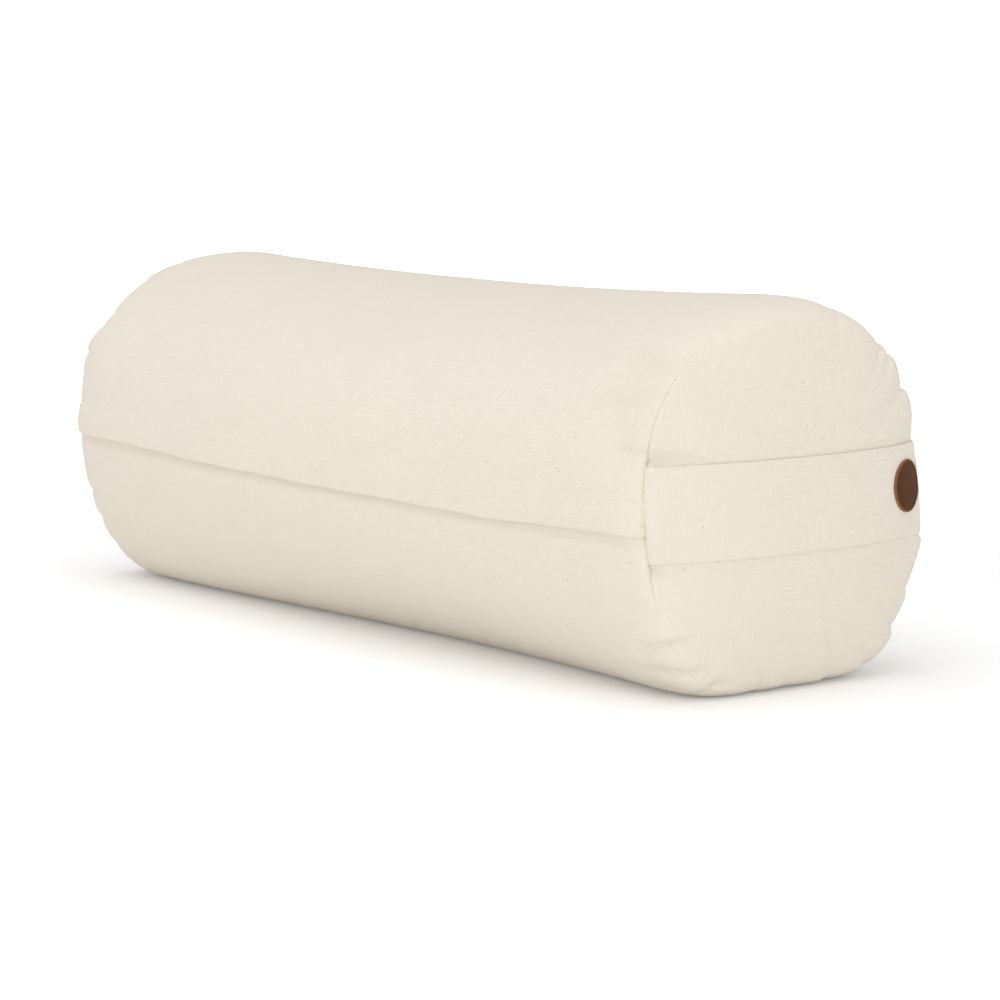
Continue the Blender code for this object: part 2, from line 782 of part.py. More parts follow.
def groove_points(x, deeper):
    """The hollow that the zip presses into the inner bag, from its upper edge to its lower."""
    bottom = zip_plane() + slider_outer + GAP + deeper
    spread = GROOVE_SIDE * (2 if deeper else 1)
    half = channel_reach() + spread - GROOVE_SIDE
    centre = fold_height(x) + ZIP_ABOVE_FOLD
    low = sewn_point(x, -1).y + TAPE_ROOM + deeper
    high = sewn_point(x, 1).y + TAPE_ROOM + deeper
    return [
        Vector((x, high, centre + upper_sewn + spread)),
        Vector((x, bottom, centre + half)),
        Vector((x, bottom, centre - half)),
        Vector((x, low, centre - lower_sewn - spread)),
    ]


groove_end = LAP_HALF_LENGTH + GROOVE_PAST_LAP


def inner_stations(end, deeper):
    """Stations of the inner bag: hollowed for the zip, full beyond it, then drawn in at the seam."""
    hollowed = [x for x in cover_stations() if 0 < x < groove_end + GAP]
    full = HALF_LENGTH - end_stations()[-2] - deeper / 2
    span = HALF_LENGTH - LINER_END_SPAN - deeper / 2
    half = [(x, "hollowed") for x in hollowed]
    if full > hollowed[-1] + GAP:
        half.append((full, "full"))
    else:
        half[-1] = (hollowed[-1] - deeper / 2, "hollowed")
    half += [(span, "drawn"), (end, "drawn")]
    return [(-x, state) for x, state in reversed(half)] + [(0.0, "hollowed")] + half


def inner_section(x, angle, depth, state):
    if state != "drawn":
        return section(x, angle, depth + GAP + EASE)
    at_seam = math.copysign(HALF_LENGTH, x)
    point = section(at_seam, angle, depth + LINER_END_DEPTH - CANVAS, at_rim=True)
    return Vector((x, point.y, point.z))


def inner_ring(x, state, depth, deeper):
    """Points round the inner bag at station x: the zip's hollow first, then the rest of the ring."""
    angles = ring_angles(x, LAP_WIDTH, BELOW_LAP, RING_STEPS)[1:-1:2]
    ring = [inner_section(x, angle, depth, state) for angle in angles]
    if state == "hollowed":
        return list(reversed(groove_points(x, deeper))) + ring
    slope = fold_height(x) - fold_height(0)
    heights = [corner.z + slope for corner in groove_points(0, 0.0)]
    side = [inner_section(x, angle_at(x, height), depth, state) for height in heights]
    return list(reversed(side)) + ring


def make_liner_body():
    stations = inner_stations(HALF_LENGTH - LINER_SHORT_OF_SEAM, 0.0)
    rings = [inner_ring(x, state, CANVAS, 0.0) for x, state in stations]
    columns = len(rings[0])
    liner = shaped_grid(
        "liner_body",
        calico,
        columns,
        len(stations) - 1,
        lambda column, row: rings[row][column % columns],
        from_axis,
    )
    return solidify(liner, LINER_CLOTH)


inner_shares = [0.955, 0.88, 0.72, 0.5, 0.25, 0]


def make_liner_end(side, name):
    angles = dome_angles(side * HALF_LENGTH)[::2]
    behind = CANVAS + GAP + EASE

    def place(column, row):
        return dome_point(side, angles[column % len(angles)], inner_shares[row], behind)

    disc = shaped_grid(
        name, calico, len(angles), len(inner_shares) - 1, place, lambda point: Vector((side, 0, 0))
    )
    return solidify(disc, LINER_CLOTH)


def make_filling():
    """The packed filling, one closed body with a dome at each end."""
    inset = LINER_CLOTH + GAP
    stations = inner_stations(HALF_LENGTH - FILLING_SHORT_OF_SEAM, inset)
    rings = [inner_ring(x, state, CANVAS + inset, inset) for x, state in stations]
    columns = len(rings[0])
    behind = CANVAS + LINER_CLOTH + 2 * (GAP + EASE)
    shares = inner_shares[1:]

    def dome_ring(side, share):
        ring = rings[-1 if side > 0 else 0]
        points = []
        for point in ring:
            angle = math.atan2(point.z - centre_height, point.y)
            points.append(dome_point(side, angle, share, behind))
        return points

    layers = [dome_ring(FAR, share) for share in reversed(shares)]
    layers += rings
    layers += [dome_ring(NEAR, share) for share in shares]
    return shaped_grid(
        "filling",
        fibre,
        columns,
        len(layers) - 1,
        lambda column, row: layers[row][column % columns],
        from_axis,
    )


clear_scene()
parts = new_collection(COLLECTION)
cutters = new_collection("cutters")
cutters.hide_render = True

canvas = material("canvas", (0.80, 0.73, 0.62), 0.9)
leather = material("leather", (0.10, 0.048, 0.026), 0.5)
calico = material("calico", (0.78, 0.72, 0.60), 0.9)
fibre = material("fibre", (0.82, 0.78, 0.68), 1.0)
tape_weave = material("tape_weave", (0.72, 0.66, 0.55), 0.8)
resin = material("resin", (0.70, 0.64, 0.52), 0.4)
zinc = material("zinc", (0.55, 0.53, 0.50), 0.35, 1.0)

make_cover_body()
make_placket_flap()
near_panel = make_end_panel(NEAR, "end_panel_near")
cut_strap_slots(near_panel)
make_end_panel(FAR, "end_panel_far")
make_handle_strap()
make_badge()

zip_line = zip_frame()
tooth_row("zip_teeth_upper", 1, TOOTH_PITCH / 4)
tooth_row("zip_teeth_lower", -1, TOOTH_PITCH * 3 / 4)
make_tape("zip_tape_upper", 1)
make_tape("zip_tape_lower", -1)
make_slider()
make_pull()
make_stops()

make_liner_body()
make_liner_end(NEAR, "liner_end_near")
make_liner_end(FAR, "liner_end_far")
make_filling()

hinge = lapped_side(0, LAP_WIDTH)
print("lap hinge", hinge.y - GAP, hinge.z)
print("zip plane", zip_plane(), zip_height, "slider", slider_place(), "pivot", pivot_height)
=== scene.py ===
# %% [markdown]
# # A canvas yoga bolster
#
# A yoga bolster is a canvas tube, packed hard with fibre and closed by a round canvas
# panel at each end. This one lies on its side. A lap of doubled canvas hides its zip, and
# a flat canvas handle crosses one end, with a round leather badge sewn on it.
#
# The solid model gives the frame: each piece made here goes where that model says.

import math

import bmesh
import bpy
import numpy as np
from mathutils import Matrix, Vector
from mathutils.bvhtree import BVHTree


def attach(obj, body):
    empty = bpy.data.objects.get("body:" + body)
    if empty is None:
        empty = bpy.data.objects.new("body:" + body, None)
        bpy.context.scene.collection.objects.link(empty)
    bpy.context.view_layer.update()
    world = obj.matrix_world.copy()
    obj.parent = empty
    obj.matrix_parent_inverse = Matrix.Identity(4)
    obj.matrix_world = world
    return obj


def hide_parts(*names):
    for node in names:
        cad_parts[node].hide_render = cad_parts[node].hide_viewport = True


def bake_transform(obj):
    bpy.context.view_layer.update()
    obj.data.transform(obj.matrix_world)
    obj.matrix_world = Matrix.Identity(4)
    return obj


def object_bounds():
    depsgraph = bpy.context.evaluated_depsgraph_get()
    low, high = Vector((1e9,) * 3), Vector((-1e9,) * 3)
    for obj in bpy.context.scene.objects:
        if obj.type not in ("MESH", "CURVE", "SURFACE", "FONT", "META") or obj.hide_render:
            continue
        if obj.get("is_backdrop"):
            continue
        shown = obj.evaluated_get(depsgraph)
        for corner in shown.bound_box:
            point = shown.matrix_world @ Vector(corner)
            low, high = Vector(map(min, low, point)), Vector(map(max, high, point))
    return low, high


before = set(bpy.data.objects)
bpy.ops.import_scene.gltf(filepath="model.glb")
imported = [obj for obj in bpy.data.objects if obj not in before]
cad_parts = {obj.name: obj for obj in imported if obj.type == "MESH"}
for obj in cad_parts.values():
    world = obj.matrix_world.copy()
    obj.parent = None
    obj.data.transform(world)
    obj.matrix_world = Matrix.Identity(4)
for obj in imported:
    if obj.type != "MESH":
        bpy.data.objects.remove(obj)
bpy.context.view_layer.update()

# %% [markdown]
# ## The camera
#
# A long lens a couple of metres away keeps the bolster's two ends nearly the same size.
# The lens is aimed at the middle of the bolster, and a small shift then slides the picture,
# as a view camera does, so that nothing turns in perspective.

# %% Camera
MIDDLE = Vector((0, 0, 0.1144))
CAMERA_PLACE = Vector((1.6837, -1.2740, 0.3604))
FOCAL_LENGTH = 118.8  # mm, on a sensor 36 mm wide
SHIFT = 0.0372, -0.0558  # in widths of the picture


def add_object(name, data):
    made = bpy.data.objects.new(name, data)
    bpy.context.scene.collection.objects.link(made)
    return made


lens = bpy.data.cameras.new("lens")
lens.lens = FOCAL_LENGTH
lens.sensor_width = 36
lens.shift_x, lens.shift_y = SHIFT
camera = add_object("camera", lens)
camera.location = CAMERA_PLACE
camera.rotation_euler = (MIDDLE - CAMERA_PLACE).to_track_quat("-Z", "Y").to_euler()
bpy.context.scene.camera = camera
bpy.context.scene.view_settings.view_transform = "Standard"
print("camera", round((CAMERA_PLACE - MIDDLE).length, 2), "m from the bolster")

# %% [markdown]
# ## Writing materials as sums
#
# A material is a graph of nodes, and its arithmetic is easier to read as a sum. The small
# class below holds one socket. Adding or multiplying it makes the Math node and wires it.

# %% Node helpers


class Wire:
    """One output socket of a material, which can be used in a sum."""

    def __init__(self, board, socket):
        self.board = board
        self.socket = socket

    def __add__(self, other):
        return self.board.maths("ADD", self, other)

    def __sub__(self, other):
        return self.board.maths("SUBTRACT", self, other)

    def __rsub__(self, other):
        return self.board.maths("SUBTRACT", other, self)

    def __mul__(self, other):
        return self.board.maths("MULTIPLY", self, other)

    __radd__ = __add__
    __rmul__ = __mul__


class Board:
    """A material's nodes, wired by plain calls."""

    def __init__(self, name):
        self.material = bpy.data.materials.new(name)
        self.material.use_nodes = True
        self.tree = self.material.node_tree
        self.shader = self.tree.nodes["Principled BSDF"]

    def feed(self, socket, value):
        if isinstance(value, Wire):
            self.tree.links.new(value.socket, socket)
        else:
            socket.default_value = value

    def node(self, kind, settings=None, output=0, **inputs):
        """A node of this kind; inputs are named as its sockets are, with _ for a space."""
        made = self.tree.nodes.new(kind)
        for key, value in (settings or {}).items():
            setattr(made, key, value)
        for key, value in inputs.items():
            self.feed(made.inputs[key.replace("_", " ")], value)
        return Wire(self, made.outputs[output])

    def maths(self, operation, first, second=0.0):
        made = self.tree.nodes.new("ShaderNodeMath")
        made.operation = operation
        for socket, value in zip(made.inputs, (first, second)):
            self.feed(socket, value)
        return Wire(self, made.outputs[0])

    def ramp(self, value, low, high, to_low=0.0, to_high=1.0):
        """A soft step: to_low where value is under low, to_high where it is over high."""
        return self.node(
            "ShaderNodeMapRange",
            {"interpolation_type": "SMOOTHSTEP"},
            Value=value,
            From_Min=low,
            From_Max=high,
            To_Min=to_low,
            To_Max=to_high,
        )

    def blend(self, share, first, second, kind="MIX"):
        made = self.tree.nodes.new("ShaderNodeMix")
        made.data_type = "RGBA"
        made.blend_type = kind
        self.feed(made.inputs[0], share)
        self.feed(made.inputs[6], (*first, 1) if isinstance(first, tuple) else first)
        self.feed(made.inputs[7], (*second, 1) if isinstance(second, tuple) else second)
        return Wire(self, made.outputs[2])

    def split(self, vector):
        """The three parts of a vector."""
        made = self.tree.nodes.new("ShaderNodeSeparateXYZ")
        self.feed(made.inputs[0], vector)
        return [Wire(self, made.outputs[k]) for k in range(3)]

    def join(self, x, y, z=0.0):
        return self.node("ShaderNodeCombineXYZ", X=x, Y=y, Z=z)

    def noise(self, place, scale, detail=2.0, roughness=0.5):
        return self.node(
            "ShaderNodeTexNoise", Vector=place, Scale=scale, Detail=detail, Roughness=roughness
        )

    def bump(self, height, distance, strength=1.0):
        """Relief: height times distance, in metres."""
        return self.node("ShaderNodeBump", Height=height, Distance=distance, Strength=strength)

    def object_place(self):
        """Where a point of the piece lies in the room, in metres."""
        return self.node("ShaderNodeTexCoord", output=3)

    def cloth_place(self):
        """Where a point lies on the piece's own flat cloth, in metres."""
        return self.node("ShaderNodeUVMap", {"uv_map": CLOTH_MAP})

    def toned(self, colour, tone):
        """A colour made paler or darker by a number round 1."""
        return self.blend(1.0, colour, self.join(tone, tone, tone), "MULTIPLY")

    def finish(self, **inputs):
        for key, value in inputs.items():
            if isinstance(value, tuple) and len(value) == 3:
                value = (*value, 1)
            self.feed(self.shader.inputs[key.replace("_", " ")], value)
        return self.material


CLOTH_MAP = "cloth"

# %% [markdown]
# ## Light, floor and background
#
# A product is lit softly from all sides so that pale cloth keeps its modelling. The world
# gives the even part, and three large lamps give the direction: one overhead, a low one in
# front and one off the handle's end. The floor is pale, and only what looks at it, straight
# or through a mirror or glass, sees it brightened to white. So the shadow stays and no
# extra light falls on the cloth.

# %% World and lamps


def seen_by_eye(tree):
    """1 where the camera looks, straight or through a mirror or glass, and 0 for plain light."""
    path = tree.nodes.new("ShaderNodeLightPath")
    total = path.outputs["Is Camera Ray"]
    for name in ("Is Glossy Ray", "Is Transmission Ray"):
        either = tree.nodes.new("ShaderNodeMath")
        either.operation = "MAXIMUM"
        tree.links.new(total, either.inputs[0])
        tree.links.new(path.outputs[name], either.inputs[1])
        total = either.outputs[0]
    return total


world = bpy.data.worlds.new("studio")
world.use_nodes = True
bpy.context.scene.world = world
sky = world.node_tree
sky_shader = sky.nodes["Background"]
sky_seen = sky.nodes.new("ShaderNodeMix")
sky_seen.data_type = "FLOAT"
AMBIENT = 0.68  # the world's strength where it lights the cloth
sky_seen.inputs[2].default_value = AMBIENT
sky_seen.inputs[3].default_value = 1.0
sky.links.new(seen_by_eye(sky), sky_seen.inputs[0])
sky.links.new(sky_seen.outputs[0], sky_shader.inputs["Strength"])
sky_shader.inputs["Color"].default_value = (1, 1, 1, 1)


def softbox(name, place, target, size, power, colour):
    lamp = bpy.data.lights.new(name, "AREA")
    lamp.shape = "RECTANGLE"
    lamp.size, lamp.size_y = size
    lamp.energy = power
    lamp.color = colour
    stand = add_object(name, lamp)
    stand.location = place
    stand.rotation_euler = (Vector(target) - Vector(place)).to_track_quat("-Z", "Y").to_euler()


LAMPS = (  # name, place, what it is aimed at, width and height, watts, colour
    ("key_light", (0.0, -0.5, 2.4), (0, 0, 0.1), (2.0, 2.0), 18.6, (0.94, 0.965, 1.0)),
    ("front_light", (0.9, -2.9, 0.42), (0, 0, 0.05), (2.6, 0.84), 21, (1, 1, 1)),
    ("end_light", (2.6, 0.0, 0.4), (0.3, 0, 0.1), (1.4, 0.8), 11.5, (1, 1, 1)),
)
for lamp_row in LAMPS:
    softbox(*lamp_row)
print("lamps", len(LAMPS))

# %% Floor
FLOOR_HALF = 6
FLOOR_GREY = 0.96
FLOOR_LIFT = 0.12  # how much it is brightened under the bolster
FAR_LIFT = 0.9  # and where it runs into the background
LIFT_FROM, LIFT_TO = 0.40, 1.4  # metres from the middle between which that grows
floor_mesh = bpy.data.meshes.new("floor")
bm = bmesh.new()
bmesh.ops.create_grid(bm, x_segments=2, y_segments=2, size=FLOOR_HALF)
bm.to_mesh(floor_mesh)
bm.free()
floor = add_object("floor", floor_mesh)
floor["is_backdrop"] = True

paint = Board("floor_paint")
seen = Wire(paint, seen_by_eye(paint.tree))
floor_x, floor_y, _ = paint.split(paint.object_place())
away = paint.maths("SQRT", floor_x * floor_x + floor_y * floor_y)
lift = paint.ramp(away, LIFT_FROM, LIFT_TO, FLOOR_LIFT, FAR_LIFT)
paint.finish(
    Base_Color=(FLOOR_GREY, FLOOR_GREY, FLOOR_GREY),
    Roughness=0.9,
    Specular_IOR_Level=0.0,
    Emission_Color=(1, 1, 1),
)
paint.feed(paint.shader.inputs["Emission Strength"], seen * lift)
floor_mesh.materials.append(paint.material)
print("floor", 2 * FLOOR_HALF, "m across")

# %% [markdown]
# ## Natural canvas
#
# Undyed cotton canvas is a plain weave: each warp thread passes over and under each weft
# thread. Thick and thin places in the yarn make short pale and dark dashes along both
# threads, and crumbs of seed husk stay in it as dark flecks. The pattern reads the piece's
# own cloth map, whose units are metres of cloth, so it follows the cloth round every fold.

# %% Canvas
THREAD = 0.00105  # one warp or weft thread
CREAM = (0.835, 0.765, 0.655)
HUSK = (0.30, 0.19, 0.11)
HUSK_CELLS = 95.0  # places per metre where a fleck may lie
HUSK_SHARE = 0.07  # the share of them that have one
SLUB_ACROSS, SLUB_LONG = 900.0, 70.0  # slubs per metre across a thread and along it
PATCHES = 14.0
CRUMPLES = 55.0
RELIEF = 0.00018
CRUMPLE_RELIEF = 0.0009
# Shade is painted into the cloth, greyer in a crease and most of all where it runs into a seam.
PAINTED_SHADE = "pressed"
SHADE_TINT = 0.05, 0.062, 0.078  # what that takes off red, green and blue


def weave(board, along, across):
    """Relief of a plain weave, from 0 between the threads to 1 on top of them."""
    u = along * (math.pi / THREAD)
    v = across * (math.pi / THREAD)
    wave_u = board.maths("SINE", u)
    wave_v = board.maths("SINE", v)
    ridge_u = board.maths("ABSOLUTE", wave_u)
    ridge_v = board.maths("ABSOLUTE", wave_v)
    warp_on_top = board.maths("GREATER_THAN", wave_u * wave_v, 0.0)
    warp = ridge_u * (ridge_v * 0.4 + 0.6)
    weft = ridge_v * (ridge_u * 0.4 + 0.6)
    return warp * warp_on_top + weft * (1 - warp_on_top)


def canvas(name, colour):
    board = Board(name)
    cloth = board.cloth_place()
    along, across, _ = board.split(cloth)
    threads = weave(board, along, across)
    warp_slubs = board.noise(board.join(along * SLUB_ACROSS, across * SLUB_LONG), 1.0, 1.0)
    weft_slubs = board.noise(
        board.join(along * SLUB_LONG, across * SLUB_ACROSS, 5.0), 1.0, 1.0
    )
    patches = board.noise(cloth, PATCHES, 3.0)
    cells = board.tree.nodes.new("ShaderNodeTexVoronoi")
    cells.voronoi_dimensions = "2D"
    cells.inputs["Scale"].default_value = HUSK_CELLS
    board.feed(cells.inputs["Vector"], cloth)
    near = Wire(board, cells.outputs["Distance"])
    pick, size, _ = board.split(Wire(board, cells.outputs["Color"]))
    chosen = board.maths("LESS_THAN", pick, HUSK_SHARE)
    flecks = board.ramp(near, 0.055, 0.02) * chosen * (size * 0.7 + 0.1)
    tone = (
        1.0
        + (warp_slubs - 0.5) * 0.075
        + (weft_slubs - 0.5) * 0.075
        + (patches - 0.5) * 0.05
        + (threads - 0.6) * 0.05
    )
    flecked = board.blend(flecks, board.toned(colour, tone), HUSK)
    # Painted shade: the cloth is darkened where the pressed attribute marks creases and seams.
    painted_shade_amount = board.node("ShaderNodeAttribute", {"attribute_name": PAINTED_SHADE}, 2)
    painted_dark = board.join(*(1 - painted_shade_amount * share for share in SHADE_TINT))
    flecked = board.blend(1.0, flecked, painted_dark, "MULTIPLY")
    height = threads + (warp_slubs + weft_slubs) * 0.9
    soft = board.bump(board.noise(cloth, CRUMPLES, 3.0, 0.55), CRUMPLE_RELIEF)
    fine = board.bump(height, RELIEF)
    board.feed(fine.socket.node.inputs["Normal"], soft)
    return board.finish(
        Base_Color=flecked,
        Roughness=0.92,
        Specular_IOR_Level=0.25,
        Sheen_Weight=0.12,
        Sheen_Roughness=0.5,
        Normal=fine,
    )


canvas_cloth = canvas("canvas_cloth", CREAM)
print("canvas nodes", len(canvas_cloth.node_tree.nodes))

# %% [markdown]
# ## The shape of the stuffed bolster
#
# The section isn't quite round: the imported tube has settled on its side, so it is a little
# squarish, rolled over by some degrees, full at mid length and sagging a little on top. It
# rounds in to a smaller seam at each end. These are the solid model's own sizes.

# %% Sizes
HALF_LENGTH = 0.307  # from mid length to an end seam
HALF_WIDTH = 0.1135
HALF_HEIGHT = 0.1218
SQUARENESS = 2.34  # the section's power: 2 would be an ellipse
ROLL = math.radians(11.0)
SINK = 0.0161  # how far the round form would reach under the floor
SETTLE = 0.0046  # how softly its underside turns into the flat
FLAT_DEPTH = 0.0005
SIDE_FULLNESS = 0.0094
TOP_DIP = 0.0094
UNDERCUT = 0.0122  # the hollow under the lapped side, which leans to the handle's end
UNDERCUT_LEAN = 0.8
UNDERCUT_FADE = 1.4
UNDERCUT_BETWEEN = math.radians(186), math.radians(270)
END_ROUNDING = 0.047  # how far from a seam the tube begins to close in
SEAM_DRAW = {1: 0.934, -1: 0.871}  # each seam's girth as a share of the tube's
END_BULGE = 0.018
END_BULGE_SHAPE = 2.3
LAP_HEIGHT = 0.0986  # of the fold's edge, at mid length
LAP_WIDTH = 0.024
LAP_TILT = math.radians(0.56)
LAP_HALF_LENGTH = 0.25  # the part that lifts
AXIS_HEIGHT = HALF_HEIGHT - SINK
HALVINGS = 36  # steps in which a search closes in on an angle

# %% Section of the bolster


def undercut(x, angle):
    """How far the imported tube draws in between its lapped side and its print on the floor."""
    start, end = UNDERCUT_BETWEEN
    share = (angle % math.tau - start) / (end - start)
    if not 0 < share < 1:
        return 0
    toward = x / HALF_LENGTH
    strength = max(0, 1 - toward**2) ** UNDERCUT_FADE * (1 + UNDERCUT_LEAN * toward)
    return UNDERCUT * strength * math.sin(math.pi * share) ** 2


def barrel(x, angle, depth=0.0, at_rim=False):
    """Point of the bolster at station x, at an angle from +Y toward +Z, this deep in it."""
    side = 1 if x > 0 else -1
    share = SEAM_DRAW[side]
    if not at_rim:
        from_seam = min((HALF_LENGTH - abs(x)) / END_ROUNDING, 1)
        share += (1 - share) * math.sqrt(max(0, 1 - (1 - from_seam) ** 2))
    middle = max(0, 1 - (x / HALF_LENGTH) ** 2)
    dip = TOP_DIP * middle / 2
    across = HALF_WIDTH * share + SIDE_FULLNESS * middle - depth
    up = HALF_HEIGHT * share - dip - depth
    turned = angle - ROLL
    reach = (
        abs(math.cos(turned) / across) ** SQUARENESS + abs(math.sin(turned) / up) ** SQUARENESS
    ) ** (-1 / SQUARENESS)
    reach -= undercut(x, angle)
    height = AXIS_HEIGHT - dip + reach * math.sin(angle) - depth
    if height < 4 * SETTLE:
        height = SETTLE * math.log1p(math.exp(height / SETTLE))
    return Vector((x, reach * math.cos(angle), depth + max(height - FLAT_DEPTH, 0)))


def angle_where(degrees, height, height_at):
    """The angle, between a low and a high place, at which a curve reaches this height."""
    low, high = map(math.radians, degrees)
    for _ in range(HALVINGS):
        middle = (low + high) / 2
        if height_at(middle) < height:
            low = middle
        else:
            high = middle
    return (low + high) / 2


def angle_at(x, height, at_rim=False):
    """Angle on the lapped side at which the section reaches this height."""
    return angle_where((240, 120), height, lambda angle: barrel(x, angle, 0.0, at_rim).z)


def fold_height(x):
    """Height of the lap's fold at station x."""
    return LAP_HEIGHT - x * math.tan(LAP_TILT)


def lapped_side(x, above_fold, out=0.0):
    """Point on the lapped side, this far above the lap's fold edge and this far proud."""
    height = fold_height(x) + above_fold
    at_rim = abs(x) > HALF_LENGTH - 1e-5
    point = barrel(x, angle_at(x, height, at_rim), 0.0, at_rim)
    return Vector((x, point.y - out, height))


def end_dome(side, angle, share):
    """Point of a bulging end, from its middle (share 0) to its rim (share 1)."""
    rim = barrel(side * HALF_LENGTH, angle, 0.0, True)
    out = END_BULGE * (1 - share**END_BULGE_SHAPE)
    up = AXIS_HEIGHT + (rim.z - AXIS_HEIGHT) * share
    return Vector((side * (HALF_LENGTH + out), rim.y * share, up))


print("girth at mid length", round(2 * math.pi * (HALF_WIDTH + HALF_HEIGHT) / 2, 3))

# %% [markdown]
# ## The canvas skin
#
# On the real bolster a flat rectangle of canvas is sewn into a tube, a round end is sewn
# into each mouth, and packing it hard makes it round. It could be made from three separate
# shells. One closed skin is better, because then cloth simulation can tighten the whole of
# it at once, and the seams stay together. The skin is a grid: its columns run round the
# bolster from the lap's row of stitches, and its rows run from the middle of the far end,
# along the tube, to the middle of the near end.

# %% Columns and rows of the skin
AROUND = 240
LOWER_EDGE = (-0.004, -0.0015, 0.001, 0.0058, 0.0119, 0.018)  # heights over the lap's fold
COLUMNS = AROUND + len(LOWER_EDGE) + 1
FROM_SEAM = (0, 0.0004, 0.0010, 0.0020, 0.0038, 0.0068, 0.011, 0.0165, 0.023, 0.030)
FROM_SEAM += (0.037, 0.0435, 0.05)
DOME_SHARES = (0.996, 0.990, 0.980, 0.963, 0.935, 0.9, 0.85, 0.78, 0.70, 0.6, 0.48, 0.36)
DOME_SHARES += (0.23, 0.11, 0)
BETWEEN = 52  # rows along the part of the tube that the hinged lap covers

half_run = [HALF_LENGTH - d for d in FROM_SEAM]
middle_run = [LAP_HALF_LENGTH * (1 - 2 * k / BETWEEN) for k in range(BETWEEN + 1)]
stations = [-x for x in half_run] + [-x for x in middle_run] + list(reversed(half_run))
rows = [(-1, share) for share in reversed(DOME_SHARES)]
FIRST_SEAM = len(rows)
rows += [(0, x) for x in stations]
LAST_SEAM = len(rows) - 1
rows += [(1, share) for share in DOME_SHARES]
print("skin", COLUMNS, "columns", len(rows), "rows")

# %% [markdown]
# The larger girth of the tube is gathered where it is sewn to the smaller end. The stitches
# hold it every 30 mm or so, and the packing blows the cloth out between them, which is
# what makes a sewn cushion's edge scalloped. The gathers are strong over the top and the
# back and weak on the lapped side, where the handle and the lap stiffen the seam.

# %% Gathers along the two end seams
rng = np.random.default_rng(29)
NEAR_NOTCHES = [18.5 - 15 * k for k in range(9, -1, -1)] + [35.5, 44, 51]
NEAR_NOTCHES += [70 + 17 * k for k in range(10)]
FAR_NOTCHES = [169.5 + 360 / 21 * k for k in range(-16, 2)] + [203, 213.5, 222.5, 231, 242]
DEEP_NOTCHES = {
    1: (18.5, -11.5, -41.5, -56.5, 35.5, 51, 70),
    -1: (FAR_NOTCHES[16], FAR_NOTCHES[15], 213.5, 222.5, 231),
}


def uneven(side, angles):
    """The notches of one seam, each with its strength: hand sewing is never quite regular."""
    deep = DEEP_NOTCHES[side]
    made = []
    for angle in angles:
        if angle in deep:
            made.append((angle, 1.25))
        else:
            made.append((angle + rng.uniform(-3.2, 3.2), rng.uniform(0.6, 1.2)))
    return sorted(made)


notches = {1: uneven(1, NEAR_NOTCHES), -1: uneven(-1, FAR_NOTCHES)}
GATHER_DEPTH = 0.0036
GATHER_SWELL = 0.4  # the share of that by which the cloth swells out between two notches
GATHER_REACH = 0.016  # how far along the cloth a gather has died down to a third
SEAM_PULL = 0.0021  # how far the thread sinks the seam itself
SEAM_WIDTH = 0.0007
# How strongly each seam is gathered, by angle: the handle and the lap keep it flat.
NEAR_GATHERED = (
    ((-150, 0.35), (-120, 0.5), (-90, 0.8), (-60, 1), (-16, 1), (-8, 0.35), (13, 0.35), (20, 0.9))
    + ((36, 1), (62, 1), (78, 0.3), (110, 0.2), (128, 0.6), (147, 0.6), (158, 0.12))
    + ((200, 0.12), (210, 0.35))
)
FAR_GATHERED = ((-150, 0.95), (166, 0.95), (173, 0.3), (184, 0.3), (191, 0.95), (210, 0.95))
# Where the near end's cloth rolls over its seam and hides it: 1 is wholly.
NEAR_HIDDEN = (
    ((-150, 1), (-42, 1), (-25, 0), (42, 0), (56, 1), (120, 1), (134, 0.15), (150, 0))
    + ((202, 0), (212, 1))
)
# How far uneven packing has pushed each rim out, in metres.
NEAR_PACKED = (
    ((-150, 0), (-64, 0), (-58, 0.0010), (-52, 0.0028), (-45, 0.0018), (-41, 0), (-36, -0.0018))
    + ((-30, -0.0026), (-25, -0.0032), (-19, -0.0020), (-12, 0), (20, 0))
    + ((27, 0.0012), (36, 0.0004), (44, 0.0016), (56, 0.0018), (66, 0), (210, 0))
)
FAR_PACKED = (
    ((-150, 0), (112, 0), (122, -0.0030), (132, -0.0045), (140, -0.0042), (148, -0.0006), (155, 0))
    + ((160, -0.0022), (167, -0.0034), (171, -0.0010), (176, 0), (210, 0))
)
PACKED_REACH = 0.03
# How deep the thread sinks each seam, as a share: most on the lapped side.
SEWN_DEEP = ((-150, 0.3), (120, 0.35), (158, 0.45), (163, 1), (194, 1), (199, 0.5), (210, 0.3))


def by_angle(table, angle):
    """Read a table of degrees at an angle in radians."""
    degrees = (math.degrees(angle) + 150) % 360 - 150
    return float(np.interp(degrees, [d for d, _ in table], [value for _, value in table]))


def gather_strength(side, angle):
    """How strongly a seam is gathered at this angle, from 0 to 1."""
    return by_angle(NEAR_GATHERED if side > 0 else FAR_GATHERED, angle)


def hidden_seam(side, angle):
    """How far the cloth rolls over a seam at this angle and hides it, from 0 to 1."""
    return by_angle(NEAR_HIDDEN, angle) if side > 0 else 0.0


def gather(side, angle):
    """How deep the gathers press the cloth at this angle of a seam.

    The cloth is pleated over at each notch, so it stands highest just below one and then
    sinks slowly toward the next."""
    marks = notches[side]
    around = [(marks[-1][0] - 360, marks[-1][1]), *marks, (marks[0][0] + 360, marks[0][1])]
    degrees = (math.degrees(angle) - marks[0][0]) % 360 + marks[0][0]
    after = next(k for k, (mark, _) in enumerate(around) if mark > degrees)
    (low, low_depth), (high, high_depth) = around[after - 1], around[after]
    past = (high - degrees) / (high - low)
    lobe = min(1, past / 0.09) * (1 - 0.62 * past**1.6) * min(1, (1 - past) / 0.06 + 0.3)
    deep = GATHER_DEPTH * (high_depth + (low_depth - high_depth) * past)
    return deep * gather_strength(side, angle) * (1 - GATHER_SWELL - lobe)


# %% Place the skin's points

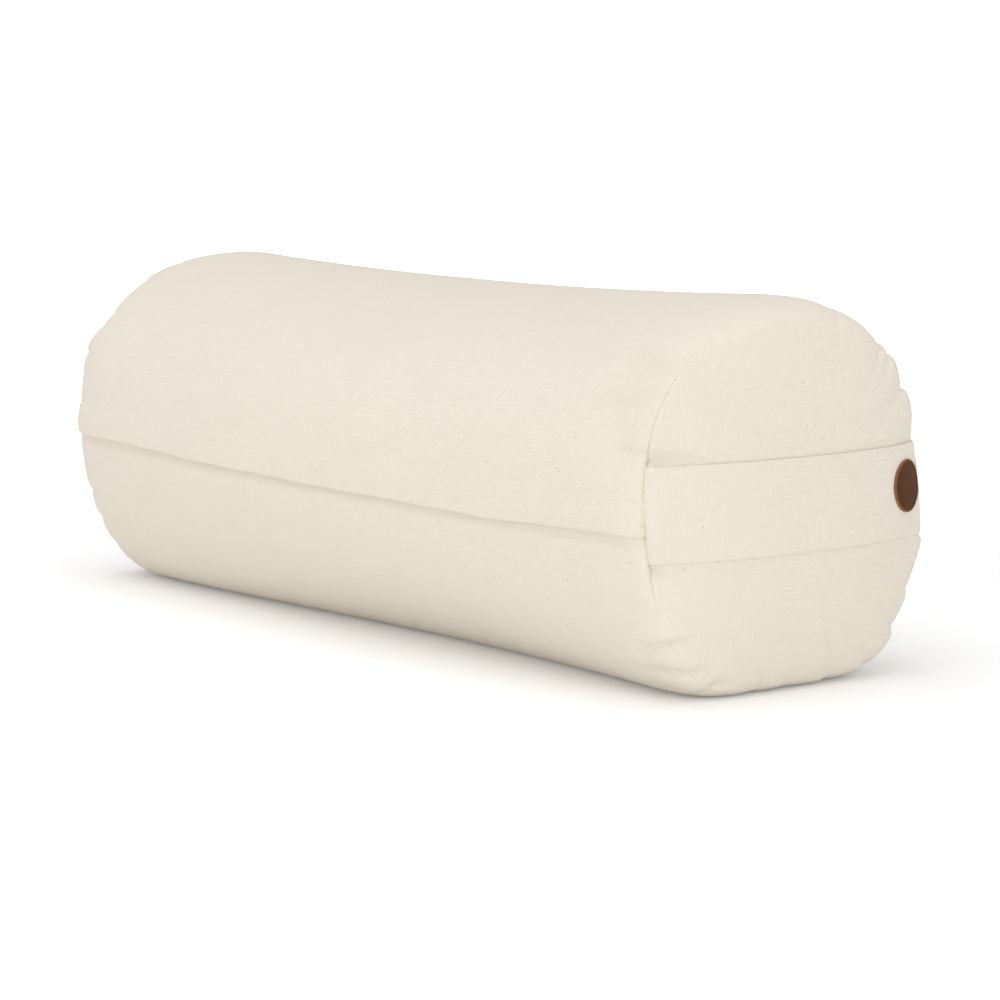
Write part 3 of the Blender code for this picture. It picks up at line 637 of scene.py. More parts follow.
def ring_angles(x, at_rim):
    """The angle of each column at station x, for the tube."""
    first = angle_at(x, fold_height(x) + LAP_WIDTH, at_rim)
    last = angle_at(x, fold_height(x) - 0.008, at_rim) - math.tau
    turned = [first + (last - first) * k / AROUND for k in range(AROUND + 1)]
    turned += [angle_at(x, fold_height(x) + up, at_rim) - math.tau for up in LOWER_EDGE]
    return turned + [first - math.tau]


def seam_sink(side, angle, distance):
    """How far the seam and its gathers sink the cloth, this far from the seam."""
    thread = SEAM_PULL * by_angle(SEWN_DEEP, angle) * (1 - 0.7 * hidden_seam(side, angle))
    thread *= math.exp(-((distance / SEAM_WIDTH) ** 2))
    packed = by_angle(NEAR_PACKED if side > 0 else FAR_PACKED, angle)
    packed *= math.exp(-((distance / PACKED_REACH) ** 2))
    return thread - packed + gather(side, angle) * math.exp(-distance / GATHER_REACH)


HANDLE_TUG = 0.0040  # how far the handle's back end draws the rim in along the bolster
HANDLE_TUG_AT = math.radians(6)
HANDLE_TUG_SPREAD = math.radians(17)
HANDLE_TUG_REACH = 0.020


def tug(angle, distance):
    """How far the handle draws the rim in at this angle, this far from it."""
    off = ((angle - HANDLE_TUG_AT + math.pi) % math.tau - math.pi) / HANDLE_TUG_SPREAD
    return HANDLE_TUG * math.exp(-(off**2) - (distance / HANDLE_TUG_REACH) ** 2)


# How far the cover's lower edge dips under the lap, by its height over the fold.
UNDER_DIP = {-0.004: 0.0006, -0.0015: 0.0014}
UNDER_DIP_DEEP = 0.0015
SINK_LEAN = 0.6  # how far a sunk point of the tube leans toward its seam
SINK_LEAN_REACH = 0.01
DOME_SINK = 0.75, 0.6  # how far a sunk point of an end moves along it and inward
rim_angles = {side: ring_angles(side * HALF_LENGTH, True) for side in (1, -1)}
near_reach = [
    math.hypot(p.y, p.z - AXIS_HEIGHT)
    for p in (end_dome(1, angle, 1) for angle in rim_angles[1])
]


def skin_point(row, column):
    kind, value = rows[row]
    if kind:
        angle = rim_angles[kind][column]
        point = end_dome(kind, angle, value)
        from_rim = near_reach[column] * (1 - value)
        sink = seam_sink(kind, angle, from_rim) * min(1, value * 2)
        if kind > 0:
            point.x -= tug(angle, from_rim)
        back, inward = DOME_SINK
        way = Vector((kind * back, math.cos(angle) * inward, math.sin(angle) * inward))
        return point - way * sink
    at_rim = row in (FIRST_SEAM, LAST_SEAM)
    angle = angles_of[row][column]
    point = barrel(value, angle, 0.0, at_rim)
    side = 1 if value > 0 else -1
    distance = HALF_LENGTH - abs(value)
    sink = seam_sink(side, angle, distance)
    if AROUND < column < COLUMNS:
        sink += UNDER_DIP.get(LOWER_EDGE[column - AROUND - 1], UNDER_DIP_DEEP)
    lean = math.exp(-distance / SINK_LEAN_REACH) * SINK_LEAN
    inward = Vector((side * lean, math.cos(angle), math.sin(angle)))
    moved = point - inward.normalized() * sink
    if side > 0:
        moved.x -= tug(angle, distance)
    moved.z = max(moved.z, 0)
    return moved


angles_of = {
    row: ring_angles(value, row in (FIRST_SEAM, LAST_SEAM))
    for row, (kind, value) in enumerate(rows)
    if not kind
}
start_form = np.array(
    [[skin_point(row, column) for column in range(COLUMNS + 1)] for row in range(len(rows))]
)
print("skin box", start_form.min((0, 1)).round(4), start_form.max((0, 1)).round(4))

# %% [markdown]
# Over the top and low down, the near end's seam lies in a round roll of cloth and can't be
# seen from in front. There each column of the grid is averaged along its own length, so
# that the tube turns over into the end in one smooth curve.

# %% Roll the cloth over its seam
ROLL_REACH = 0.032
ROLL_BLUR = 0.0085
FINE_STEP = 0.0004


def rolled(profile, seam_at, share):
    """The points of a profile averaged along it, most at the seam and not at its ends."""
    steps = np.linalg.norm(np.diff(profile, axis=0), axis=1)
    run = np.concatenate(((0,), np.cumsum(steps)))
    fine = np.arange(0, run[-1], FINE_STEP)
    path = np.stack([np.interp(fine, run, profile[:, axis]) for axis in range(3)], axis=1)
    off = np.clip(np.abs(run - run[seam_at]) / ROLL_REACH, 0, 1)
    blur = np.maximum(ROLL_BLUR * share * (1 - off**2), FINE_STEP * 0.6)
    weight = np.exp(-0.5 * ((fine[None, :] - run[:, None]) / blur[:, None]) ** 2)
    averaged = weight @ path / weight.sum(axis=1)[:, None]
    kept = (blur <= FINE_STEP)[:, None]
    return np.where(kept, profile, averaged)


first_rolled = next(k for k in range(LAST_SEAM, 0, -1) if rows[k][1] < HALF_LENGTH - 0.05)
rolled_rows = slice(first_rolled, len(rows) - 2)
for column in range(COLUMNS + 1):
    share = hidden_seam(1, rim_angles[1][column])
    if share > 0.02:
        profile = start_form[rolled_rows, column]
        start_form[rolled_rows, column] = rolled(profile, LAST_SEAM - first_rolled, share)
print("rolled rows", first_rolled, "to", len(rows) - 3)

# %% [markdown]
# A cloth map is stored on the skin before its edges are merged. It gives each point its
# place on the flat canvas in metres: along and around the tube, and straight across the
# round ends. So the weave keeps its real size and runs on through every fold.

# %% Make the skin's mesh
girth_map = np.zeros(COLUMNS + 1)
middle_row = next(k for k, (kind, value) in enumerate(rows) if not kind and value > -0.004)
for column in range(1, COLUMNS + 1):
    step = start_form[middle_row, column] - start_form[middle_row, column - 1]
    girth_map[column] = girth_map[column - 1] + np.linalg.norm(step)
top_column = AROUND * 35 // 100
run_map = {}
length_so_far = 0.0
for row in range(FIRST_SEAM, LAST_SEAM + 1):
    if row > FIRST_SEAM:
        step = start_form[row, top_column] - start_form[row - 1, top_column]
        length_so_far += float(np.linalg.norm(step))
    run_map[row] = length_so_far


def cloth_place(row, column, kind):
    """Where a point lies on the flat canvas, in metres, on the tube (kind 0) or on an end."""
    if not kind:
        return (run_map[row], float(girth_map[column]))
    x, y, z = start_form[row, column]
    return (kind + float(y), float(z))


bm = bmesh.new()
bmesh.ops.create_grid(bm, x_segments=COLUMNS, y_segments=len(rows) - 1, size=1)
column_of = bm.verts.layers.int.new("column")
row_of = bm.verts.layers.int.new("row")
for vert in bm.verts:
    vert[column_of] = round((vert.co.x + 1) / 2 * COLUMNS)
    vert[row_of] = round((vert.co.y + 1) / 2 * (len(rows) - 1))
cloth_map = bm.loops.layers.uv.new(CLOTH_MAP)
for face in bm.faces:
    low = min(vert[row_of] for vert in face.verts)
    kind = -1 if low < FIRST_SEAM else (1 if low >= LAST_SEAM else 0)
    for loop in face.loops:
        loop[cloth_map].uv = cloth_place(loop.vert[row_of], loop.vert[column_of], kind)
for vert in bm.verts:
    vert.co = start_form[vert[row_of], vert[column_of]]
bmesh.ops.remove_doubles(bm, verts=bm.verts, dist=1e-6)
bmesh.ops.dissolve_degenerate(bm, edges=bm.edges, dist=1e-7)
bmesh.ops.recalc_face_normals(bm, faces=bm.faces)
skin_mesh = bpy.data.meshes.new("skin")
bm.to_mesh(skin_mesh)
bm.free()
print("skin", len(skin_mesh.vertices), "points", len(skin_mesh.polygons), "faces")

# %% [markdown]
# ## Packing it tight
#
# The simulation blows the skin up from inside, as the filling does. What is held still is
# what the real cloth can't move: the seams and their stitches, the face on the floor, the
# lap's strip, and the band under the handle. Near the seams the cloth may grow by a few
# parts in a hundred, which stands for the gathered extra girth, so it buckles into folds.
#
# The simulated moves are used for their folds alone. Their smooth part is taken out, since
# it would change the bolster's size, and no point moves further than a set distance.

# %% Hold and ease
STRAP_WIDTH = 0.055
STRAP_HEIGHT = 0.1102
HELD_NEAR = 0.0012  # metres from a seam or from the floor within which cloth is held
HELD_MIDDLE = 0.025  # and round the middle of an end
HELD_BESIDE = 0.004  # and beside the handle
EASE_ALL = 0.12  # the ease away from the gathers
EASE_REACH = 0.035
skin = add_object("skin", skin_mesh)
point_count = len(skin_mesh.vertices)
skin_row = np.zeros(point_count, int)
skin_column = np.zeros(point_count, int)
skin_mesh.attributes["row"].data.foreach_get("value", skin_row)
skin_mesh.attributes["column"].data.foreach_get("value", skin_column)
skin_column = skin_column % COLUMNS
place = np.zeros(point_count * 3)
skin_mesh.vertices.foreach_get("co", place)
place = place.reshape(-1, 3)
along = place[:, 0]
in_dome = (skin_row < FIRST_SEAM) | (skin_row > LAST_SEAM)
from_seam = np.abs(HALF_LENGTH - np.abs(along))
held = np.zeros(point_count)
held[from_seam < HELD_NEAR] = 1
held[(skin_row >= FIRST_SEAM - 1) & (skin_row <= FIRST_SEAM + 1)] = 1
held[(skin_row >= LAST_SEAM - 1) & (skin_row <= LAST_SEAM + 1)] = 1
held[place[:, 2] < HELD_NEAR] = 1
lap_strip = (skin_column >= AROUND - 1) | (skin_column <= 1)
held[lap_strip & ~in_dome] = 1
held[in_dome & (np.hypot(place[:, 1], place[:, 2] - AXIS_HEIGHT) < HELD_MIDDLE)] = 1
under_strap = np.abs(place[:, 2] - STRAP_HEIGHT) < STRAP_WIDTH / 2 + HELD_BESIDE
held[in_dome & (along > 0) & under_strap] = 1
angle_of = np.arctan2(place[:, 2] - AXIS_HEIGHT, place[:, 1])
strength = np.array([gather_strength(x, angle) for x, angle in zip(along, angle_of)])
ease = np.clip(EASE_ALL + strength * np.exp(-from_seam / EASE_REACH), 0, 1)

for name, weights in (("held", held), ("ease", ease)):
    group = skin.vertex_groups.new(name=name)
    for level in np.unique(weights.round(2)):
        chosen = np.flatnonzero(np.abs(weights.round(2) - level) < 1e-9)
        group.add([int(k) for k in chosen], float(level), "REPLACE")
print("held", int(held.sum()), "of", point_count)

# %% Simulate
PACKING_FRAMES = 20
FOLD_CAP = 0.0042
BLUR_AROUND = 8
BLUR_ALONG = 5


def tighten(thing):
    """Run the cloth simulation and return the points' places at its end."""
    packing = thing.modifiers.new("packing", "CLOTH")
    packing.settings.quality = 6
    packing.settings.mass = 0.2
    packing.settings.tension_stiffness = 40
    packing.settings.compression_stiffness = 40
    packing.settings.shear_stiffness = 15
    packing.settings.bending_stiffness = 0.08
    packing.settings.vertex_group_mass = "held"
    packing.settings.vertex_group_shrink = "ease"
    packing.settings.shrink_min = 0.0
    packing.settings.shrink_max = -0.06
    packing.settings.use_pressure = True
    packing.settings.uniform_pressure_force = 4
    packing.settings.effector_weights.gravity = 0
    packing.collision_settings.use_collision = False
    packing.point_cache.frame_start = 1
    packing.point_cache.frame_end = PACKING_FRAMES
    stage_time = bpy.context.scene
    for moment in range(1, PACKING_FRAMES + 1):
        stage_time.frame_set(moment)
    graph = bpy.context.evaluated_depsgraph_get()
    packed = thing.evaluated_get(graph).data
    places = np.zeros(point_count * 3)
    packed.vertices.foreach_get("co", places)
    thing.modifiers.remove(packing)
    stage_time.frame_set(1)
    return places.reshape(-1, 3)


def box_blur(field):
    """Average over a patch of the grid: round the tube it wraps, along it the ends repeat."""
    wrapped = np.concatenate((field[:, -BLUR_AROUND:], field, field[:, :BLUR_AROUND]), axis=1)
    wide = 2 * BLUR_AROUND + 1
    sideways = sum(wrapped[:, k : k + field.shape[1]] for k in range(wide)) / wide
    first, last = (sideways[:1],) * BLUR_ALONG, (sideways[-1:],) * BLUR_ALONG
    tall = np.concatenate(first + (sideways,) + last)
    high = 2 * BLUR_ALONG + 1
    return sum(tall[k : k + field.shape[0]] for k in range(high)) / high


def folds_of(places):
    """The simulated moves along the surface's normal, without their smooth part, and capped."""
    normals = np.array([tuple(vert.normal) for vert in skin_mesh.vertices])
    moves = ((places - place) * normals).sum(axis=1)
    grid = np.zeros((len(rows), COLUMNS))
    grid[skin_row, skin_column] = moves
    grid[0] = grid[1]
    grid[-1] = grid[-2]
    smooth = box_blur(box_blur(grid))
    fold = (grid - smooth)[skin_row, skin_column]
    fold = FOLD_CAP * np.tanh(fold / FOLD_CAP)
    return fold, normals, moves


folds, skin_normals, moves = folds_of(tighten(skin))
print("moves mm", (moves.min() * 1000).round(2), (moves.max() * 1000).round(2))
print("folds mm", (folds.std() * 1000).round(3), (np.abs(folds).max() * 1000).round(2))

# %% [markdown]
# Small creases come last. A sewn cushion has short ones that run out of its gathers, and
# here a soft one rises where the handle's upper corner tugs at the end. Each is a shallow
# valley along a short line on the flat cloth. How deep a point lies is kept with it, and
# shade is painted into the canvas there, in its creases and along its seams.

# %% Creases
flat_u = np.array([run_map.get(int(row), 0.0) for row in skin_row])
flat_v = girth_map[skin_column]
whole_run = run_map[LAST_SEAM]


def valley(u, v, start, end, width, depth):
    """Depth of one crease at the points (u, v): deepest along its line, soft at its ends."""
    start, end = np.array(start), np.array(end)
    line = end - start
    length = np.linalg.norm(line)
    share = ((u - start[0]) * line[0] + (v - start[1]) * line[1]) / length**2
    off = np.abs((u - start[0]) * line[1] - (v - start[1]) * line[0]) / length
    ends = np.clip((share + 0.15) / 0.3, 0, 1) * np.clip((1.15 - share) / 0.5, 0, 1)
    return depth * ends * np.exp(-((off / width) ** 2))


creases = np.zeros(point_count)
on_tube = ~in_dome
PLEAT_DEPTH = 0.0010
PLEAT_WIDTH = 0.0022
PLEAT_REACH = 0.014, 0.034  # how far a pleat runs out of its notch
PLEAT_LEAN = 0.006
SMALL_CREASES = 46  # at each end of the tube
SMALL_FROM_SEAM = 0.002, 0.02
SMALL_LENGTH = 0.012, 0.04
SMALL_LEAN = 0.012
SMALL_DEPTH = 0.0002, 0.0008
SMALL_WIDTH = 0.0016, 0.0035
seam_at = {1: whole_run, -1: 0.0}
for side in (1, -1):
    turned = np.degrees(np.array(rim_angles[side][: AROUND + 1]))
    for mark, _ in notches[side]:
        for degrees in (mark, mark - 360):
            if not turned[-1] < degrees < turned[0]:
                continue
            v = float(np.interp(-degrees, -turned, girth_map[: AROUND + 1]))
            reach = rng.uniform(*PLEAT_REACH)
            lean = rng.uniform(-PLEAT_LEAN, PLEAT_LEAN)
            last = (seam_at[side] - side * reach, v + lean)
            pleat = valley(flat_u, flat_v, (seam_at[side], v), last, PLEAT_WIDTH, PLEAT_DEPTH)
            creases += np.where(on_tube, pleat * strength, 0)
for side in (1, -1):
    for _ in range(SMALL_CREASES):
        v = rng.uniform(0.02, girth_map[AROUND] - 0.02)
        first = seam_at[side] - side * rng.uniform(*SMALL_FROM_SEAM)
        last = first - side * rng.uniform(*SMALL_LENGTH)
        lean = rng.uniform(-SMALL_LEAN, SMALL_LEAN)
        deep = rng.uniform(*SMALL_DEPTH)
        width = rng.uniform(*SMALL_WIDTH)
        pressed = valley(flat_u, flat_v, (first, v), (last, v + lean), width, deep)
        creases += np.where(on_tube, pressed * strength, 0)
END_CREASES = (  # (y, z) of both ends, width, depth
    ((-0.1130, 0.1462), (-0.0869, 0.1412), 0.0046, 0.0017),
    ((-0.1130, 0.1475), (-0.0845, 0.1412), 0.0085, 0.0008),
    ((-0.0900, 0.1424), (-0.0700, 0.1392), 0.0030, 0.0022),
    ((-0.1060, 0.1402), (-0.0985, 0.1398), 0.0026, 0.0030),
    ((-0.1045, 0.0796), (-0.0950, 0.0802), 0.0028, 0.0032),
    ((-0.0880, 0.0360), (-0.0740, 0.0378), 0.0022, 0.0030),
    ((-0.0860, 0.0176), (-0.0610, 0.0178), 0.0024, 0.0026),
    ((-0.0585, 0.0084), (-0.0440, 0.0102), 0.0024, 0.0018),
    ((-0.0690, 0.0292), (-0.0510, 0.0090), 0.0030, 0.0006),
    ((-0.0405, 0.0180), (-0.0270, 0.0198), 0.0026, 0.0008),
    ((0.0450, 0.2020), (0.0320, 0.1850), 0.0032, 0.0006),
    ((0.0750, 0.1800), (0.0580, 0.1660), 0.0032, 0.0006),
    ((0.0920, 0.0500), (0.0700, 0.0590), 0.0030, 0.0006),
    ((0.0300, 0.0080), (0.0240, 0.0300), 0.0032, 0.0006),
)
TUBE_CREASES = (  # (x, z) of both ends on the lapped side, width, depth
    ((0.3110, 0.1455), (0.2840, 0.1470), 0.0046, 0.0016),
    ((0.3110, 0.1465), (0.2780, 0.1475), 0.0085, 0.0008),
    ((0.3060, 0.1620), (0.2720, 0.1580), 0.0060, 0.0016),
    ((0.3060, 0.1760), (0.2600, 0.1725), 0.0070, 0.0022),
    ((0.3060, 0.1910), (0.2650, 0.1940), 0.0070, 0.0020),
    ((0.3060, 0.0352), (0.2900, 0.0312), 0.0026, 0.0030),
    ((0.3060, 0.0172), (0.2820, 0.0186), 0.0028, 0.0026),
)
near_dome = in_dome & (along > 0)
front_side = on_tube & (place[:, 1] < 0)
for lines, first_way, where in (
    (END_CREASES, place[:, 1], near_dome),
    (TUBE_CREASES, along, front_side),
):
    for line in lines:
        creases += np.where(where, valley(first_way, place[:, 2], *line), 0)
print("creases set by hand", len(END_CREASES + TUBE_CREASES))

# %% [markdown]
# Cloth that is sewn down takes no crease: under the handle, at the lap's stitches and on
# the floor. A shallow crease also dies away before its seam, and a deep one runs into it.
# The skin is moved along averaged directions, so that no crease folds through itself.

# %% Press the folds and creases into the skin
TUCKED_BESIDE = 0.0008
CREASE_FROM_FLOOR = 0.006
SHADE_FULL_AT = 0.003  # the depth at which a crease's painted shade is as dark as it gets
SHALLOW_UNTIL = 0.002  # metres from a seam
DEEP_CREASE = 0.0012
DEEP_FROM = 0.4
CALM_REACH = 0.007  # metres past HELD_NEAR in which the simulated folds fade in
SEAM_SHADE = 0.8, 2.0  # how dark the shade painted along a seam is, and how much more where it is sewn deep
under_cloth = np.abs(place[:, 2] - STRAP_HEIGHT) < STRAP_WIDTH / 2 + TUCKED_BESIDE
tucked = (lap_strip & ~in_dome) | (near_dome & under_cloth)
creases *= np.where(tucked, 0, 1) * np.clip(place[:, 2] / CREASE_FROM_FLOOR, 0, 1)
# Painted shade: the deeper a crease, the darker its cloth is painted.
shade_paint = np.clip(creases / SHADE_FULL_AT, 0, 1)
deep_enough = np.clip(creases / DEEP_CREASE - DEEP_FROM, 0, 1)
creases *= np.maximum(np.clip(from_seam / SHALLOW_UNTIL, 0, 1), deep_enough)
calm = np.clip((from_seam - HELD_NEAR) / CALM_REACH, 0, 1)
free = (1 - held) * np.where(in_dome, 1, calm)
steady = np.zeros((len(rows), COLUMNS, 3))
steady[skin_row, skin_column] = skin_normals
steady[0] = steady[1]
steady[-1] = steady[-2]
steady = box_blur(box_blur(steady))[skin_row, skin_column]
steady /= np.linalg.norm(steady, axis=1)[:, None]
packed_form = place + skin_normals * (folds * free)[:, None] - steady * creases[:, None]
packed_form[:, 2] = np.maximum(packed_form[:, 2], 0)
skin_mesh.vertices.foreach_set("co", packed_form.ravel())
# Painted shade along each seam where it shows, darkest where it is sewn deep.
for side, seam_row in ((1, LAST_SEAM), (-1, FIRST_SEAM)):
    shown = [
        (1 - hidden_seam(side, angle)) * (SEAM_SHADE[0] + SEAM_SHADE[1] * by_angle(SEWN_DEEP, angle))
        for angle in rim_angles[side]
    ]
    on_seam = skin_row == seam_row
    shade_paint[on_seam] = np.maximum(shade_paint[on_seam], np.array(shown)[skin_column[on_seam]])
pressed = skin_mesh.attributes.new(PAINTED_SHADE, "FLOAT", "POINT")
pressed.data.foreach_set("value", shade_paint.astype(np.float32))
skin_mesh.update()
print("creases mm", (creases.max() * 1000).round(2))

# %% [markdown]
# ## Cover and ends
#
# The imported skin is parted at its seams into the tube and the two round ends, and the
# window that the zip closes is opened in the tube. A canvas of this weight is 0.8 mm thick,
# and Solidify gives it that toward the inside.

# %% Part the skin
CANVAS = 0.0008


def wall(thing, thickness, offset=-1.0):
    """Give a sheet its thickness: inward by -1, to both sides by 0."""
    cloth = thing.modifiers.new("cloth", "SOLIDIFY")
    cloth.thickness = thickness
    cloth.offset = offset
    return thing


def finer(thing):
    smooth = thing.modifiers.new("finer", "SUBSURF")
    smooth.levels = 1
    smooth.render_levels = 1
    return thing


def piece_of(name, mesh, look):
    """A mesh with its material, as an object in the scene."""
    mesh.materials.append(look)
    return add_object(name, mesh)


def cut_from_skin(name, wanted):
    """The part of the skin whose faces are wanted, by their lowest row and their middle."""
    part = bmesh.new()
    part.from_mesh(skin_mesh)
    layer = part.verts.layers.int["row"]
    spare = [
        face
        for face in part.faces
        if not wanted(min(v[layer] for v in face.verts), face.calc_center_median())
    ]
    bmesh.ops.delete(part, geom=spare, context="FACES")
    for edge in part.edges:
        edge.smooth = not edge.is_boundary
    for face in part.faces:
        face.smooth = True
    mesh = bpy.data.meshes.new(name)
    part.to_mesh(mesh)
    part.free()
    return wall(finer(piece_of(name, mesh, canvas_cloth)), CANVAS)


WINDOW_LOW = 0.0058  # height over the fold of the zip's window, up to the lap's stitches


def in_window(centre):
    above = centre.z - fold_height(centre.x)
    return abs(centre.x) < LAP_HALF_LENGTH and centre.y < 0 and WINDOW_LOW < above < LAP_WIDTH


cover = cut_from_skin(
    "cover_tube",
    lambda row, centre: FIRST_SEAM <= row < LAST_SEAM and not in_window(centre),
)
near_end = cut_from_skin("near_end", lambda row, centre: row >= LAST_SEAM)
far_end = cut_from_skin("far_end", lambda row, centre: row < FIRST_SEAM)
bpy.data.objects.remove(skin)
for thing, node in (
    (cover, "cover_body"),
    (near_end, "end_panel_near"),
    (far_end, "end_panel_far"),
):
    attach(thing, "bolster")
    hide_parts(node)
    print(thing.name, len(thing.data.polygons), "faces")

# %% [markdown]
# ## A helper for shaped cloth
#
# The lap, the handle, the zip's tapes and the badge are all made as the skin was: a grid
# whose points are placed by a function, with the same cloth map in metres.

# %% Shaped grids


def lengths_along(profile):
    """How far along a profile each of its points lies."""
    run = [0.0]
    for (a, b), (c, d) in zip(profile, profile[1:]):
        run.append(run[-1] + math.hypot(c - a, d - b))
    return run


def evenly(low, high, steps):
    return [low + (high - low) * k / steps for k in range(steps + 1)]


def shaped(name, look, columns, row_count, point_at, flat_at):
    """A grid of this many steps, placed by point_at and mapped by flat_at, edges merged."""
    bm = bmesh.new()
    bmesh.ops.create_grid(bm, x_segments=columns, y_segments=row_count, size=1)
    steps = {}
    for vert in bm.verts:
        column = round((vert.co.x + 1) / 2 * columns)
        steps[vert] = (column, round((vert.co.y + 1) / 2 * row_count))
    layer = bm.loops.layers.uv.new(CLOTH_MAP)
    for face in bm.faces:
        face.smooth = True
        for loop in face.loops:
            loop[layer].uv = flat_at(*steps[loop.vert])
    for vert in bm.verts:
        vert.co = point_at(*steps[vert])
    bmesh.ops.remove_doubles(bm, verts=bm.verts, dist=1e-6)
    bmesh.ops.dissolve_degenerate(bm, edges=bm.edges, dist=1e-7)
    for edge in bm.edges:
        edge.smooth = not edge.is_boundary
    mesh = bpy.data.meshes.new(name)
    bm.to_mesh(mesh)
    bm.free()
    return piece_of(name, mesh, look)


def close_and_face_out(thing):
    """Fill a tube's open ends and turn every face outward."""
    bm = bmesh.new()
    bm.from_mesh(thing.data)
    ends = [edge for edge in bm.edges if edge.is_boundary]
    if ends:
        bmesh.ops.holes_fill(bm, edges=ends, sides=0)
    bmesh.ops.recalc_face_normals(bm, faces=bm.faces)
    bm.to_mesh(thing.data)
    bm.free()
    return thing


def face_toward(thing, direction):
    """Turn an open sheet so that most of it faces this way."""
    total = sum((face.normal * face.area for face in thing.data.polygons), Vector())
    if total.dot(Vector(direction)) < 0:
        thing.data.flip_normals()
    return thing


# %% [markdown]
# ## The lap over the zip
#
# The lap is the tube's upper edge folded back on itself, so it is two layers thick and its
# lower edge is a soft round fold. It could be one strip, but its middle has to lift for the
# zip. So it is made as a separate middle between two short ends that are sewn down. The skin of
# the folded strip runs down its face, round the fold and up its back.

# %% Lap
LAP_THICKNESS = 0.0016
LAP_RISE = 0.0013
LAP_CLOTH = 0.00072
LAP_FACE = (0.024, 0.0215, 0.018, 0.014, 0.010, 0.0068, 0.0042, 0.0024, 0.0014)
LAP_BACK = (0.0014, 0.005, 0.010, 0.016, 0.0225)
FOLD_STEPS = 6
LAP_SETTLE = 0.85  # the share of its rise that the lap loses at a seam
LAP_SETTLE_REACH = 0.010
HAIR = 0.00005  # between the lap's middle and its sewn ends
RUN = HALF_LENGTH - 0.0004  # where the lap's ends go into the end seams
LAP_EDGE = 0.003  # how far from there its rows come closer together
LAP_EDGE_STEPS = 0.0018, 0.0012, 0.0
# How dark the shade painted along the lap's two ends is, where they go into the end seams.
LAP_EDGE_SHADE = 4.2
fold_half = LAP_THICKNESS / 2


def lap_rise(above):
    """The lap lies flush at its stitches and stands proud below, most at its fold."""
    return LAP_RISE * min(1, (LAP_WIDTH - above) / (LAP_WIDTH * 2 / 3))


def lap_settle(x):
    """The lap is pressed flat where the end seam takes it in."""
    return LAP_RISE * LAP_SETTLE * math.exp(-(((HALF_LENGTH - abs(x)) / LAP_SETTLE_REACH) ** 2))


lap_profile = [(above, lap_rise(above)) for above in LAP_FACE]
for k in range(1, FOLD_STEPS):
    turn = math.pi * k / FOLD_STEPS
    lap_profile.append(
        (fold_half * (1 - math.sin(turn)), LAP_RISE - fold_half * (1 - math.cos(turn)))
    )
lap_profile += [(above, lap_rise(above) - LAP_THICKNESS) for above in LAP_BACK]
lap_run = lengths_along(lap_profile)


def drawn_up(x, start, length):
    """A soft step from 0 to 1 that begins at start."""
    share = min(max((x - start) / length, 0), 1)
    return share * share * (3 - 2 * share)


NEAR_DRAWN = 0.0026  # how far the fold rises at each end
FAR_DRAWN = 0.0022


def lap_wave(x):
    """How far the fold's edge lies below its straight line.

    It wanders a little, as hand-guided sewing does, and rises where the two end seams draw
    it up."""
    wander = 0.00030 * math.sin(x * 41 + 0.7) + 0.00018 * math.sin(x * 97 + 2.1)
    rise = NEAR_DRAWN * drawn_up(x, 0.16, 0.13)
    return wander - rise - FAR_DRAWN * drawn_up(-x, 0.06, 0.22)


def make_lap(name, xs):
    """A stretch of the lap, with a row of points at each of these stations."""

    def point_at(column, row):
        x = xs[row]
        above, out = lap_profile[column]
        drop = lap_wave(x) * max(0, 1 - above / LAP_WIDTH)
        point = lapped_side(x, above - drop, out)
        side = 1 if x > 0 else -1
        distance = HALF_LENGTH - abs(x)
        angle = math.atan2(point.z - AXIS_HEIGHT, point.y)
        sink = seam_sink(side, angle, distance) + lap_settle(x)
        return point + Vector((0, sink, 0))

    def flat_at(column, row):
        return (xs[row] + HALF_LENGTH, -lap_run[column])

    lap = shaped(name, canvas_cloth, len(lap_profile) - 1, len(xs) - 1, point_at, flat_at)
    outermost = min(lap.data.polygons, key=lambda face: face.center.y)
    if outermost.normal.y > 0:
        lap.data.flip_normals()
    print(name, len(lap.data.polygons), "faces, facing", round(outermost.normal.y, 2))
    # Painted shade along the lap's ends, where they go into the end seams.
    painted_dark = lap.data.attributes.new(PAINTED_SHADE, "FLOAT", "POINT")
    for vert, value in zip(lap.data.vertices, painted_dark.data):
        value.value = LAP_EDGE_SHADE if abs(vert.co.x) > RUN - LAP_EDGE_STEPS[1] / 2 else 0.0
    return wall(lap, LAP_CLOTH)


end_xs = evenly(LAP_HALF_LENGTH, RUN - LAP_EDGE, 15) + [RUN - step for step in LAP_EDGE_STEPS]
middle_xs = evenly(HAIR - LAP_HALF_LENGTH, LAP_HALF_LENGTH - HAIR, 110)
lap_middle = make_lap("lap_middle", middle_xs)
lap_near = make_lap("lap_near", end_xs)
lap_far = make_lap("lap_far", [-x for x in reversed(end_xs)])
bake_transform(lap_middle)
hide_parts("placket_flap")
for thing in (lap_near, lap_far):
    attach(thing, "bolster")
    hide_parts("cover_body")
print("lap cloth", round(lap_run[-1], 4), "wide")

# %% [markdown]
# ## The handle
#
# The handle is a doubled strip of the same canvas, 55 mm wide, caught in the end seam on
# both sides and lying flat on the end. A plain box bent over the end would hang off it
# between the ends. Here each point is dropped on to the end's own surface by a ray, so the
# handle follows it with a hair of air beneath, and lifts a little where it enters the seam.

